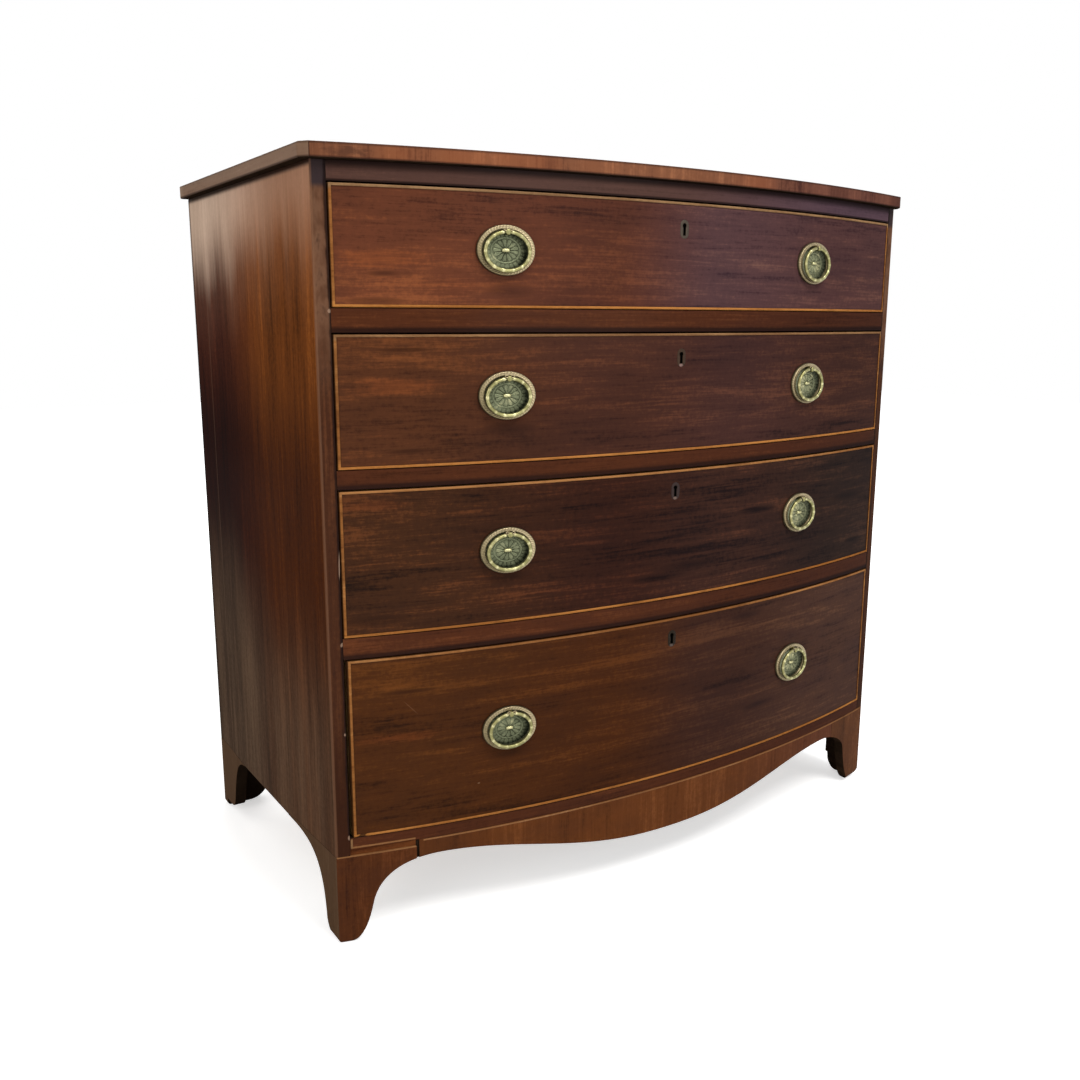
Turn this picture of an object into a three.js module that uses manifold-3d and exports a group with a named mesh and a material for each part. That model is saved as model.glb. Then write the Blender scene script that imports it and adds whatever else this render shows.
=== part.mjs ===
// A bow front chest of four long drawers on bracket feet, with oval ring handles.
// Millimetres, +Z up, the front faces -Y. The origin is on the floor, under the middle of the chest.

import * as THREE from "three";
import { mergeVertices } from "three/addons/utils/BufferGeometryUtils.js";
import Module from "manifold-3d";

const wasm = await Module();
wasm.setup();

// Driving dimensions of the carcase. Its back plane is y = 0 inside the chest group.
const carcaseWidth = 950;
const sideDepth = 482.5; // from the back plane to the front corner of a side
const bowRise = 66; // how far the middle of the front stands before its corners
const sideThickness = 17;
const topThickness = 17;
const topSideOverhang = 12;
const topFrontOverhang = 7;
const topCornerCut = 9;
const topRailHeight = 22.2;
const drawerHeights = [133, 153, 175.5, 227]; // from the top drawer down, over the beads
const dividerHeights = [27.4, 22.9, 26.4]; // the rails under drawers 1, 2 and 3
const bottomRailHeight = 15.2;
const baseHeight = 125; // from the floor to the underside of the carcase
const railEndWidth = 50.5; // of a front rail, at the sides
const backRailWidth = 60;
const backThickness = 10;
const backRebateWidth = 10;
const backPlankCount = 5;
const plankGrooveWidth = 3;
const plankGrooveDepth = 2;
const runnerWidth = 12;
const runnerEmbed = 2; // how far a runner's tenon goes into its side
const stopWidth = 25;
const stopDepth = 12;
const stopHeight = 5;
const stopOffset = 150; // from the middle of the rail to the middle of a drawer stop

// Base: a shaped apron between bracket feet
const bracketThickness = 17;
const frontArchBand = 22.5; // from the top of the front's arches to the underside of the carcase
const sideArchBand = 21;
const apronDrop = 43;
const apronSwellExponent = 1.2; // above 1, the drop keeps its depth farther from the middle
const frontFootWidth = 99.5; // from the corner to the joint with the apron
const apronJoint = 0.4;
const openApronJoint = 3; // the joint at the left foot has opened
const slippedFootDrop = 8.5; // the left front foot's veneer line sits lower than the apron's
const slippedFootRebate = 2;
const footLineFall = 7; // how far the top line of a front foot falls along the side
const footLineLength = 142;
const footTongueLength = 172;
const footTongueEnd = 2;
const rearFootLineDrop = 15; // from the underside of the carcase to the foot's top line
const rearFootTongueLength = 120;
const toeRound = 5;
const rightToeRound = 16; // the right front foot's outer corner is worn rounder
// Each foot's inner edge: the sole's width and lift, the end of the rounded toe, and the arch's curve
const leftToe = { sole: 13, lift: 0, width: 42.8, rise: 47.9, flare: 7.6, knee: 37.8, reach: 130 };
const rightToe = { sole: 26, lift: 0, width: 58.4, rise: 65.4, flare: 0.5, knee: 35.6, reach: 130 };
const leftSideToe = { sole: 22, lift: 0, width: 39.5, rise: 15, flare: 7.5, knee: 36.5, reach: 150 };
const rightSideToe = { sole: 34, lift: 0, width: 52, rise: 15, flare: 7.5, knee: 30, reach: 150 };
const rearToe = { sole: 44, lift: 11, width: 60, rise: 27, flare: 14, knee: 26, reach: 128 };
const backToe = { sole: 36, lift: 0, width: 66, rise: 19, flare: 8, knee: 18, reach: 104 };
const kneeHeightShare = 0.82;
const toeBendShare = 0.65; // where the sole's line meets the toe's, across the rounded toe
const cornerBlockWidth = 24;
const cornerBlockHeight = 85; // from the underside of the carcase down

// Drawers
const drawerSideGap = 1.6;
const drawerTopGap = 1.8;
const drawerBottomGap = 0.8;
const wornSideGaps = [0, 0, 0, 3]; // the bottom drawer has worn narrow at its left end
const runClearance = 0.3; // under the drawer sides
const drawerBackGap = 25; // from the back plane to the back of a drawer
const frontThickness = 26;
const drawerSideThickness = 9;
const drawerBackThickness = 9;
const drawerSideDrop = 7; // from the top of a front to the top of its sides
const bottomThickness = 7;
const bottomRise = 8; // from the bottom edge of a front to its bottom panel
const bottomGrooveDepth = 4;
const beadWidth = 3.2;
const beadDepth = 6.7;
const beadProud = 1.5;
const tailPitch = 42;
const tailShare = 0.62;
const tailSlope = 0.16;
const frontTailDepth = 11;
const fit = 0.3; // clearance between cut pieces

// Locks
const lockWidth = 60;
const lockHeight = 50;
const lockThickness = 12;
const keyholeShifts = [-1.3, -0.6, -4.5, -3.6]; // from the middle of the front, per drawer
const keyholeDepthsBelowTop = [32.9, 31.2, 28.2, 28.8];
const keyholeRadius = 3.3;
const keyholeSlotWidth = 5;
const keyholeHeight = 15.5;
const keyholeBlindDepth = 8; // how far the keyhole goes into the lock case
const escutcheonWidth = 14;
const escutcheonHeight = 23.5;

// Handles: an oval plate, and an oval ring that hangs in the eye of its post
const handleOffsets = [254.6, 253.2, 251.2, 250.2]; // from the middle of each pair
const handlePairShifts = [-1.7, -2.3, -4.2, -4.1]; // the pairs sit a little left of the middle
const handleRises = [-0.5, 4.2, 4.5, 2.7]; // above the middle of each drawer front
const plateHalfWidth = 37;
const plateHalfHeight = 29;
const plateStandoff = 0.3;
const plateEdgeHeight = 1.2;
const plateRimHeight = 4.6;
const plateFieldHeight = 1.1;
const plateBossHeight = 3.4;
const rimCrownShare = 0.95; // of the plate's half sizes
const fieldOuterShare = 0.87;
const bossShare = 0.3;
const bossCrownShare = 0.14;
const ringHalfWidth = 27.9;
const ringHalfHeight = 22;
const ringWireRadius = 2.9;
const ringStandoff = 7.6; // from the back of the plate to the middle of the wire
const postRise = 20.4; // from the middle of the plate
const postRadius = 4.8;
const postLength = 12.5;
const eyeRadius = 3.7;
const boltRadius = 2.4;
const boltHoleClearance = 0.4;
const nutRadius = 6.5;
const nutThickness = 4.5;
const nutGap = 0.4;

// Facets of the round stretches
const bowFacets = 18;
const apronFacets = 20;
const toeFacets = 8;
const toeCurveFacets = 5;
const toeRoundFacets = 3;
const keyholeFacets = 10;
const plateFacets = 24;
const postFacets = 8;
const nutSides = 6;
const ringSides = 6;
const ringSteps = 28;
const overrun = 5; // how far a cutter runs past what it cuts
const weld = 0.001; // points nearer than this are one point

// Sizes worked out from those above
const halfCarcase = carcaseWidth / 2;
const halfOpening = halfCarcase - sideThickness;
const bowRadius = (halfCarcase ** 2 + bowRise ** 2) / (2 * bowRise);
const frontDepth = sideDepth + bowRise; // from the back plane to the middle of the front
const bowCentreY = bowRadius - frontDepth;
const bowFacetAngle = (2 * Math.asin(halfCarcase / bowRadius)) / bowFacets;
const overallDepth = frontDepth + topFrontOverhang;
const railBackDepth = sideDepth - railEndWidth; // the straight back edge of each rail
const frontArchHeight = baseHeight - frontArchBand;
const sideArchHeight = baseHeight - sideArchBand;
const apronDropLeftWidth = halfCarcase - leftToe.reach;
const apronDropRightWidth = halfCarcase - rightToe.reach;
const apronHalfWidth = halfCarcase - frontFootWidth;
const rearFootLine = baseHeight - rearFootLineDrop;

// Heights of the openings and rails, counted up from the underside of the carcase
const bottomRailTop = baseHeight + bottomRailHeight;
const drawerLows = [];
const railLows = [];
let level = bottomRailTop;
for (let i = drawerHeights.length - 1; i >= 0; i--) {
  drawerLows[i] = level + drawerBottomGap;
  level = drawerLows[i] + drawerHeights[i] + drawerTopGap;
  railLows[i] = level; // the rail above drawer i
  level += i > 0 ? dividerHeights[i - 1] : topRailHeight;
}
const carcaseTop = level;

// Finishes
function finish(color, roughness, metalness) {
  return new THREE.MeshStandardMaterial({ color, roughness, metalness, flatShading: true });
}
const finishes = {
  mahogany: () => finish(0x5a3020, 0.35, 0),
  topEdge: () => finish(0x7d4a2c, 0.35, 0),
  darkRail: () => finish(0x45281f, 0.4, 0),
  boxwood: () => finish(0x9a7040, 0.45, 0),
  pine: () => finish(0xa98a5c, 0.8, 0),
  brass: () => finish(0xa99a62, 0.35, 0.9),
  dullBrass: () => finish(0x5a5548, 0.5, 0.8),
};

// Solids from geometry, and meshes from solids
function solid(geometry) {
  const bare = geometry.clone();
  bare.deleteAttribute("normal");
  bare.deleteAttribute("uv");
  const merged = mergeVertices(bare, weld);
  const vertProperties = new Float32Array(merged.attributes.position.array);
  const triVerts = new Uint32Array(merged.index.array);
  return new wasm.Manifold(new wasm.Mesh({ numProp: 3, vertProperties, triVerts }));
}

function addPiece(group, name, body, material) {
  const { vertProperties, triVerts } = body.getMesh();
  const geometry = new THREE.BufferGeometry();
  geometry.setAttribute("position", new THREE.BufferAttribute(vertProperties, 3));
  geometry.setIndex(new THREE.BufferAttribute(triVerts, 1));
  geometry.computeVertexNormals();
  const mesh = new THREE.Mesh(geometry, material());
  mesh.name = name;
  group.add(mesh);
  return mesh;
}

function joined(bodies) {
  return bodies.reduce((sum, body) => sum.add(body));
}

// An outline is a list of points. A plan is drawn in (x, y), a side elevation in (y, z)
// and a front elevation in (x, z), and each is extruded along the axis that it leaves out.
function outline(pairs) {
  return pairs.map(([a, b]) => new THREE.Vector2(a, b));
}

function extrusion(points, depth) {
  const shape = new THREE.Shape(points);
  return new THREE.ExtrudeGeometry(shape, { depth, bevelEnabled: false });
}

function alongZ(plan, low, high) {
  return solid(extrusion(plan, high - low).translate(0, 0, low));
}

const unitX = new THREE.Vector3(1, 0, 0);
const unitY = new THREE.Vector3(0, 1, 0);
const unitZ = new THREE.Vector3(0, 0, 1);

function alongX(elevation, left, right) {
  const turn = new THREE.Matrix4().makeBasis(unitY, unitZ, unitX);
  const body = extrusion(elevation, right - left).translate(0, 0, left);
  return solid(body.applyMatrix4(turn));
}

function alongY(elevation, front, back) {
  const turn = new THREE.Matrix4().makeBasis(unitX, unitZ, unitY.clone().negate());
  const body = extrusion(elevation, back - front).translate(0, 0, -back);
  return solid(body.applyMatrix4(turn));
}

function block(x0, x1, y0, y1, z0, z1) {
  const box = new THREE.BoxGeometry(x1 - x0, y1 - y0, z1 - z0);
  return solid(box.translate((x0 + x1) / 2, (y0 + y1) / 2, (z0 + z1) / 2));
}

// The bow of the front, as flat facets. Lines at two insets run parallel, so pieces nest.
function bowCorner(number, inset) {
  const angle = number * bowFacetAngle;
  const radius = bowRadius - inset;
  return new THREE.Vector2(radius * Math.sin(angle), bowCentreY - radius * Math.cos(angle));
}

function bowPoint(x, inset) {
  const number = Math.floor(Math.asin(x / (bowRadius - inset)) / bowFacetAngle);
  const start = bowCorner(number, inset);
  const end = bowCorner(number + 1, inset);
  return start.clone().lerp(end, (x - start.x) / (end.x - start.x));
}

function bowLine(left, right, inset) {
  const points = [bowPoint(left, inset)];
  for (let number = -bowFacets; number <= bowFacets; number++) {
    const corner = bowCorner(number, inset);
    if (corner.x > left + fit && corner.x < right - fit) points.push(corner);
  }
  points.push(bowPoint(right, inset));
  return points;
}

// Plan of a board that follows the bow between two insets
function bandPlan(left, right, outerInset, innerInset) {
  return [...bowLine(left, right, outerInset), ...bowLine(left, right, innerInset).reverse()];
}

// Plan of a board with a bowed front and a straight back edge
function railPlan(left, right, backY) {
  const back = outline([
    [right, backY],
    [left, backY],
  ]);
  return [...bowLine(left, right, 0), ...back];
}

// Base profiles
// The inner edge of a bracket foot, from the toe up to the arch: distance from the corner, height
function footCurve(toe, archHeight) {
  const rounding = new THREE.QuadraticBezierCurve(
    new THREE.Vector2(toe.sole, toe.lift),
    new THREE.Vector2(toe.sole + (toe.width - toe.sole) * toeBendShare, toe.lift),
    new THREE.Vector2(toe.width, toe.rise),
  );
  const curve = new THREE.CubicBezierCurve(
    new THREE.Vector2(toe.width, toe.rise),
    new THREE.Vector2(toe.width + toe.flare, kneeHeightShare * archHeight),
    new THREE.Vector2(toe.width + toe.knee, archHeight),
    new THREE.Vector2(toe.reach, archHeight),
  );
  return [...rounding.getPoints(toeCurveFacets), ...curve.getPoints(toeFacets).slice(1)];
}

function apronEdgeHeight(x) {
  const width = x < 0 ? apronDropLeftWidth : apronDropRightWidth;
  const share = Math.abs(x / width) ** apronSwellExponent;
  return frontArchHeight - (apronDrop * (1 + Math.cos(Math.PI * share))) / 2;
}

function frontBaseElevation(toeAtLeft, toeAtRight) {
  const leftFoot = footCurve(toeAtLeft, frontArchHeight)
    .map((p) => new THREE.Vector2(p.x - halfCarcase, p.y));
  const rightFoot = footCurve(toeAtRight, frontArchHeight)
    .map((p) => new THREE.Vector2(halfCarcase - p.x, p.y))
    .reverse();
  const apron = [];
  for (let i = 1; i < apronFacets; i++) {
    const across = (2 * i) / apronFacets - 1;
    const x = across * (across < 0 ? apronDropLeftWidth : apronDropRightWidth);
    apron.push(new THREE.Vector2(x, apronEdgeHeight(x)));
  }
  const corners = (side) => new THREE.Vector2(side * halfCarcase, 0);
  const tops = outline([
    [halfCarcase, baseHeight],
    [-halfCarcase, baseHeight],
  ]);
  return [corners(-1), ...leftFoot, ...apron, ...rightFoot, corners(1), ...tops];
}

function sideElevation(toe, top) {
  const front = footCurve(toe, sideArchHeight)
    .map((p) => new THREE.Vector2(p.x - sideDepth, p.y));
  const rear = footCurve(rearToe, sideArchHeight)
    .map((p) => new THREE.Vector2(-p.x, p.y))
    .reverse();
  const ends = outline([
    [0, rearToe.lift],
    [0, top],
    [-frontDepth, top],
    [-frontDepth, 0],
  ]);
  return [...front, ...rear, ...ends];
}

// The part of a side elevation that belongs to a front foot or to a rear foot
function frontFootRegion(line, gap) {
  const tongueStart = footLineLength - sideDepth;
  const tongueEnd = footTongueLength - sideDepth + gap;
  return outline([
    [-frontDepth - overrun, -overrun],
    [-frontDepth - overrun, line + gap],
    [-sideDepth, line + gap],
    [tongueStart, line - footLineFall + gap],
    [tongueEnd, sideArchHeight + footTongueEnd + gap],
    [tongueEnd, -overrun],
  ]);
}

function rearFootRegion(gap) {
  return outline([
    [overrun, -overrun],
    [overrun, rearFootLine + gap],
    [-rearToe.sole, rearFootLine + gap],
    [-rearFootTongueLength - gap, sideArchHeight + footTongueEnd + gap],
    [-rearFootTongueLength - gap, -overrun],
  ]);
}

function toeArc(radius) {
  const arc = new THREE.EllipseCurve(radius, radius, radius, radius, Math.PI, 1.5 * Math.PI);
  return arc.getPoints(toeRoundFacets);
}

// Rounds the outer bottom corner of a foot, seen along Y and along X
function toeEnvelope(cornerX, cornerY, facing, frontRound) {
  const far = frontDepth;
  const top = baseHeight + overrun;
  const rest = outline([
    [far, 0],
    [far, top],
    [0, top],
  ]);
  const frontShape = [...toeArc(frontRound), ...rest];
  const sideShape = [...toeArc(toeRound), ...rest];
  const front = frontShape.map((p) => new THREE.Vector2(cornerX + p.x, p.y));
  const side = sideShape.map((p) => new THREE.Vector2(cornerY + facing * p.x, p.y));
  const seenFromFront = alongY(front, -frontDepth - overrun, overrun);
  return seenFromFront.intersect(alongX(side, -halfCarcase - overrun, halfCarcase));
}

// Feet are drawn for the left side. Their brackets meet at the corner, with a glue block inside.
function frontFoot(line, inner, slip, toe, toeOnSide, outerRound) {
  const bandFront = alongZ(bandPlan(-halfCarcase, inner, 0, bracketThickness), 0, baseHeight);
  const stepX = -halfOpening + fit;
  const underSide = block(-halfCarcase - overrun, stepX, -frontDepth, 0, 0, baseHeight + overrun)
    .subtract(alongX(frontFootRegion(line, 0), -halfCarcase - overrun, 0));
  const front = bandFront
    .intersect(alongY(frontBaseElevation(toe, toe), -frontDepth - overrun, 0))
    .subtract(underSide);
  const sidePlan = railPlan(-halfCarcase, -halfCarcase + bracketThickness, footTongueLength - sideDepth);
  const side = alongZ(sidePlan, 0, baseHeight)
    .intersect(alongX(sideElevation(toeOnSide, baseHeight), -halfCarcase - overrun, 0))
    .intersect(alongX(frontFootRegion(line, 0), -halfCarcase - overrun, 0));
  const blockFront = bowPoint(stepX, bracketThickness).y - fit;
  const glueBlock = block(
    stepX,
    stepX + cornerBlockWidth,
    blockFront,
    blockFront + cornerBlockWidth,
    baseHeight - cornerBlockHeight,
    baseHeight,
  );
  const lowBlock = block(
    -halfCarcase + bracketThickness - fit,
    stepX + cornerBlockWidth,
    blockFront - fit,
    blockFront + cornerBlockWidth,
    baseHeight - cornerBlockHeight,
    line - footLineFall,
  );
  const foot = joined([front, side, glueBlock, lowBlock]);
  const cornerY = -sideDepth - toeCornerAdvance(toe);
  const envelope = toeEnvelope(-halfCarcase, cornerY, 1, outerRound);
  if (slip === 0) return foot.intersect(envelope);
  const slipped = alongZ(
    bandPlan(-halfCarcase, inner + overrun, -overrun, slippedFootRebate),
    baseHeight - slip,
    baseHeight + overrun,
  );
  return foot.subtract(slipped).intersect(envelope);
}

// The bow stands a little before the front corner over the thickness of a toe
function toeCornerAdvance(toe) {
  return -sideDepth - bowPoint(-halfCarcase + toe.width, 0).y;
}

function rearFoot() {
  const sidePlan = outline([
    [-halfCarcase, 0],
    [-halfCarcase, -rearFootTongueLength],
    [-halfCarcase + bracketThickness, -rearFootTongueLength],
    [-halfCarcase + bracketThickness, 0],
  ]);
  const side = alongZ(sidePlan, 0, rearFootLine)
    .intersect(alongX(sideElevation(leftSideToe, baseHeight), -halfCarcase - overrun, 0))
    .intersect(alongX(rearFootRegion(0), -halfCarcase - overrun, 0));
  const curve = footCurve(backToe, sideArchHeight)
    .map((p) => new THREE.Vector2(p.x - halfCarcase, p.y));
  const stepX = -halfOpening + fit;
  const reachX = backToe.reach - halfCarcase;
  const rest = outline([
    [reachX, baseHeight],
    [stepX, baseHeight],
    [stepX, rearFootLine],
    [-halfCarcase, rearFootLine],
    [-halfCarcase, 0],
  ]);
  const back = alongY([...curve, ...rest], -bracketThickness, 0);
  const blockBack = -bracketThickness + fit;
  const glueBlock = block(
    stepX - fit,
    stepX + cornerBlockWidth,
    blockBack - cornerBlockWidth,
    blockBack,
    baseHeight - cornerBlockHeight,
    baseHeight,
  );
  const underSide = block(
    -halfCarcase - overrun,
    stepX,
    -sideDepth,
    overrun,
    rearFootLine,
    baseHeight + overrun,
  );
  const envelope = toeEnvelope(-halfCarcase, 0, -1, toeRound);
  return joined([side, back, glueBlock]).subtract(underSide).intersect(envelope);
}

// Carcase
function topBoard() {
  const halfTop = halfCarcase + topSideOverhang;
  const cornerDepth = sideDepth + topFrontOverhang;
  const radius = (halfTop ** 2 + bowRise ** 2) / (2 * bowRise);
  const frontY = (x) => radius - cornerDepth - bowRise - Math.sqrt(radius ** 2 - x ** 2);
  const arcHalf = halfTop - topCornerCut;
  const front = [];
  for (let i = 0; i <= bowFacets; i++) {
    const x = arcHalf * ((2 * i) / bowFacets - 1);
    front.push(new THREE.Vector2(x, frontY(x)));
  }
  const plan = [
    new THREE.Vector2(-halfTop, 0),
    new THREE.Vector2(-halfTop, topCornerCut - cornerDepth),
    ...front,
    new THREE.Vector2(halfTop, topCornerCut - cornerDepth),
    new THREE.Vector2(halfTop, 0),
  ];
  return alongZ(plan, carcaseTop, carcaseTop + topThickness);
}

// A left side, with the runners that carry and guide the drawers on its inner face
function sidePanel(footLine, toe) {
  const inner = -halfOpening;
  const rebateX = -halfCarcase + sideThickness - backRebateWidth;
  const rebateY = -backThickness;
  const back = outline([
    [inner, rebateY],
    [rebateX, rebateY],
    [rebateX, 0],
    [-halfCarcase, 0],
  ]);
  const panel = alongZ([...bowLine(-halfCarcase, inner, 0), ...back], 0, carcaseTop)
    .intersect(alongX(sideElevation(toe, carcaseTop), -halfCarcase - overrun, 0))
    .subtract(alongX(frontFootRegion(footLine, fit), -halfCarcase - overrun, 0))
    .subtract(alongX(rearFootRegion(fit), -halfCarcase - overrun, 0));
  const runners = drawerHeights.map((_, i) => {
    const height = i > 0 ? dividerHeights[i - 1] : topRailHeight;
    const backEnd = i > 0 ? backThickness + drawerSideGap : backThickness + backRailWidth;
    return block(
      inner - runnerEmbed,
      inner + runnerWidth,
      -railBackDepth,
      -backEnd,
      railLows[i],
      railLows[i] + height,
    );
  });
  return joined([panel, ...runners]);
}

// A rail across the front, with the two stops that its drawer closes against
function rail(low, height, stopped) {
  const body = alongZ(railPlan(-halfOpening, halfOpening, -railBackDepth), low, low + height);
  if (!stopped) return body;
  const stopFront = bowPoint(stopOffset + stopWidth / 2, frontThickness).y + fit;
  const stops = [-stopOffset, stopOffset].map((x) =>
    block(
      x - stopWidth / 2,
      x + stopWidth / 2,
      stopFront,
      stopFront + stopDepth,
      low + height - runnerEmbed,
      low + height + stopHeight,
    ),
  );
  return joined([body, ...stops]);
}

// The back, planks with a groove at each joint on the outside
function backBoard() {
  const half = halfOpening + backRebateWidth - fit;
  const plan = outline([
    [-half, 0],
    [-half, -backThickness],
    [half, -backThickness],
    [half, 0],
  ]);
  for (let i = backPlankCount - 1; i > 0; i--) {
    const x = half * ((2 * i) / backPlankCount - 1);
    plan.push(new THREE.Vector2(x + plankGrooveWidth / 2, 0));
    plan.push(new THREE.Vector2(x, -plankGrooveDepth));
    plan.push(new THREE.Vector2(x - plankGrooveWidth / 2, 0));
  }
  return alongZ(plan, baseHeight, carcaseTop);
}

// Drawers. Each is drawn with its bead's lower edge at z = 0 and placed by its group.
// The tails of a drawer side: outlines in (y, z) that widen from the shoulder to the tip
function tails(height, shoulder, tip, grow) {
  const count = Math.round(height / tailPitch);
  const low = -drawerBottomGap + runClearance;
  const pitch = (height - drawerSideDrop - low) / count;
  const away = Math.sign(tip - shoulder);
  const shapes = [];
  for (let i = 0; i < count; i++) {
    const middle = low + (i + 0.5) * pitch;
    const wide = (pitch * tailShare) / 2 + grow;
    const narrow = wide - Math.abs(tip - shoulder) * tailSlope;
    const root = shoulder - away * fit;
    shapes.push(
      outline([
        [root, middle - narrow],
        [root, middle + narrow],
        [tip + away * grow, middle + wide],
        [tip + away * grow, middle - wide],
      ]),
    );
  }
  return shapes;
}

// The places that the pieces of one drawer share
function drawerPlaces(index) {
  const left = -halfOpening + drawerSideGap + wornSideGaps[index];
  const right = halfOpening - drawerSideGap;
  const height = drawerHeights[index];
  const landLeft = bowPoint(left + drawerSideThickness, frontThickness).y;
  const landRight = bowPoint(right - drawerSideThickness, frontThickness).y;
  return { left, right, height, landLeft, landRight, backY: -drawerBackGap };
}

function bottomPanel({ left, right }, grow) {
  const x0 = left + drawerSideThickness - bottomGrooveDepth - grow;
  const x1 = right - drawerSideThickness + bottomGrooveDepth + grow;
  const backY = -drawerBackGap + (grow > 0 ? overrun : 0);
  const back = outline([
    [x1, backY],
    [x0, backY],
  ]);
  const plan = [...bowLine(x0, x1, frontThickness - bottomGrooveDepth - grow), ...back];
  return alongZ(plan, bottomRise - grow, bottomRise + bottomThickness + grow);
}

function drawerSide(places, x0, x1, land) {
  const { height, backY } = places;
  const low = -drawerBottomGap + runClearance;
  const frontShoulder = land + fit;
  const backShoulder = backY - drawerBackThickness - fit;
  const body = block(x0, x1, frontShoulder, backShoulder, low, height - drawerSideDrop);
  const frontTails = tails(height, frontShoulder, land - frontTailDepth, 0);
  const backTails = tails(height, backShoulder, backY, 0);
  const ends = [...frontTails, ...backTails].map((shape) => alongX(shape, x0, x1));
  return joined([body, ...ends]).subtract(bottomPanel(places, fit));
}

function socketCutters(places, shapes, atLeft) {
  const { left, right } = places;
  const reach = drawerSideThickness + fit;
  const x0 = atLeft ? left - overrun : right - reach;
  const x1 = atLeft ? left + reach : right + overrun;
  return shapes.map((shape) => alongX(shape, x0, x1));
}

function drawerBack(places) {
  const { left, right, height, backY } = places;
  const low = bottomRise + bottomThickness + fit;
  const inner = backY - drawerBackThickness;
  const board = block(left, right, inner, backY, low, height - drawerSideDrop);
  const shapes = tails(height, inner - fit, backY, fit);
  const cutters = [...socketCutters(places, shapes, true), ...socketCutters(places, shapes, false)];
  return board.subtract(joined(cutters));
}

function keyhole(grow) {
  const low = -keyholeHeight / 2 - grow;
  const centre = keyholeHeight / 2 - keyholeRadius;
  const radius = keyholeRadius + grow;
  const half = keyholeSlotWidth / 2 + grow;
  const start = -Math.acos(half / radius);
  const arc = new THREE.EllipseCurve(0, centre, radius, radius, start, Math.PI - start);
  const slot = outline([
    [-half, low],
    [half, low],
  ]);
  return [...arc.getPoints(keyholeFacets), ...slot];
}

// The escutcheon is a slot with round ends
function escutcheon(grow) {
  const radius = escutcheonWidth / 2 + grow;
  const rise = (escutcheonHeight - escutcheonWidth) / 2;
  const upper = new THREE.EllipseCurve(0, rise, radius, radius, 0, Math.PI);
  const lower = new THREE.EllipseCurve(0, -rise, radius, radius, Math.PI, 2 * Math.PI);
  return [...upper.getPoints(keyholeFacets), ...lower.getPoints(keyholeFacets)];
}

function moved(points, x, z) {
  return points.map((p) => new THREE.Vector2(p.x + x, p.y + z));
}

// A till lock let into the back of the front, with the keyhole liner that shows outside
const lockFrontY = frontThickness - lockThickness - frontDepth;
const lockBackY = frontThickness - fit - frontDepth;

function lock(index) {
  const height = drawerHeights[index];
  const keyX = keyholeShifts[index];
  const keyZ = height - keyholeDepthsBelowTop[index];
  const caseBody = block(
    keyX - lockWidth / 2,
    keyX + lockWidth / 2,
    lockFrontY,
    lockBackY,
    height - lockHeight,
    height - fit,
  );
  const blindEnd = lockFrontY + keyholeBlindDepth;
  const liner = alongY(moved(escutcheon(0), keyX, keyZ), -frontDepth, lockFrontY + fit);
  const hole = alongY(moved(keyhole(0), keyX, keyZ), -frontDepth - overrun, blindEnd);
  return caseBody.add(liner).subtract(hole);
}

function lockCutter(index) {
  const height = drawerHeights[index];
  const keyX = keyholeShifts[index];
  const keyZ = height - keyholeDepthsBelowTop[index];
  const half = lockWidth / 2 + fit;
  const pocket = block(
    keyX - half,
    keyX + half,
    lockFrontY - fit,
    lockBackY + overrun,
    height - lockHeight - fit,
    height + overrun,
  );
  const slot = moved(escutcheon(fit), keyX, keyZ);
  return pocket.add(alongY(slot, -frontDepth - overrun, lockFrontY));
}

// Where the handles of a drawer stand on the bow, and how they are turned
function handlePlaces(index) {
  const z = drawerHeights[index] / 2 + handleRises[index];
  return [-1, 1].map((side) => {
    const x = side * handleOffsets[index] + handlePairShifts[index];
    const angle = Math.asin(x / bowRadius);
    const reach = bowRadius + plateStandoff;
    const y = bowCentreY - reach * Math.cos(angle);
    return { side, angle, position: new THREE.Vector3(reach * Math.sin(angle), y, z) };
  });
}

function placed(geometry, place) {
  const turn = new THREE.Matrix4().makeRotationZ(place.angle).setPosition(place.position);
  return solid(geometry.applyMatrix4(turn));
}

function drawerFront(index, places) {
  const { left, right, height, landLeft, landRight } = places;
  const rebate = beadDepth + fit;
  const ends = drawerSideThickness;
  const inner = bowLine(left + ends, right - ends, frontThickness).reverse();
  const slabPlan = [
    ...bowLine(left, right, rebate),
    new THREE.Vector2(right, landRight),
    ...inner,
    new THREE.Vector2(left, landLeft),
  ];
  const slab = alongZ(slabPlan, 0, height);
  const margin = beadWidth + fit;
  const panelPlan = bandPlan(left + margin, right - margin, 0, rebate + beadDepth / 2);
  const panel = alongZ(panelPlan, margin, height - margin);
  const leftTails = tails(height, landLeft + fit, landLeft - frontTailDepth, fit);
  const rightTails = tails(height, landRight + fit, landRight - frontTailDepth, fit);
  const boltHoles = handlePlaces(index).map((place) => {
    const radius = boltRadius + boltHoleClearance;
    const length = frontThickness + 2 * overrun;
    const hole = new THREE.CylinderGeometry(radius, radius, length, postFacets);
    return placed(hole.translate(0, frontThickness / 2, postRise), place);
  });
  const cutters = [
    ...socketCutters(places, leftTails, true),
    ...socketCutters(places, rightTails, false),
    ...boltHoles,
    bottomPanel(places, fit),
    lockCutter(index),
  ];
  return slab.add(panel).subtract(joined(cutters));
}

function bead({ left, right, height }) {
  const outer = alongZ(bandPlan(left, right, -beadProud, beadDepth), 0, height);
  const opening = block(
    left + beadWidth,
    right - beadWidth,
    -frontDepth - overrun,
    0,
    beadWidth,
    height - beadWidth,
  );
  return outer.subtract(opening);
}

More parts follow.
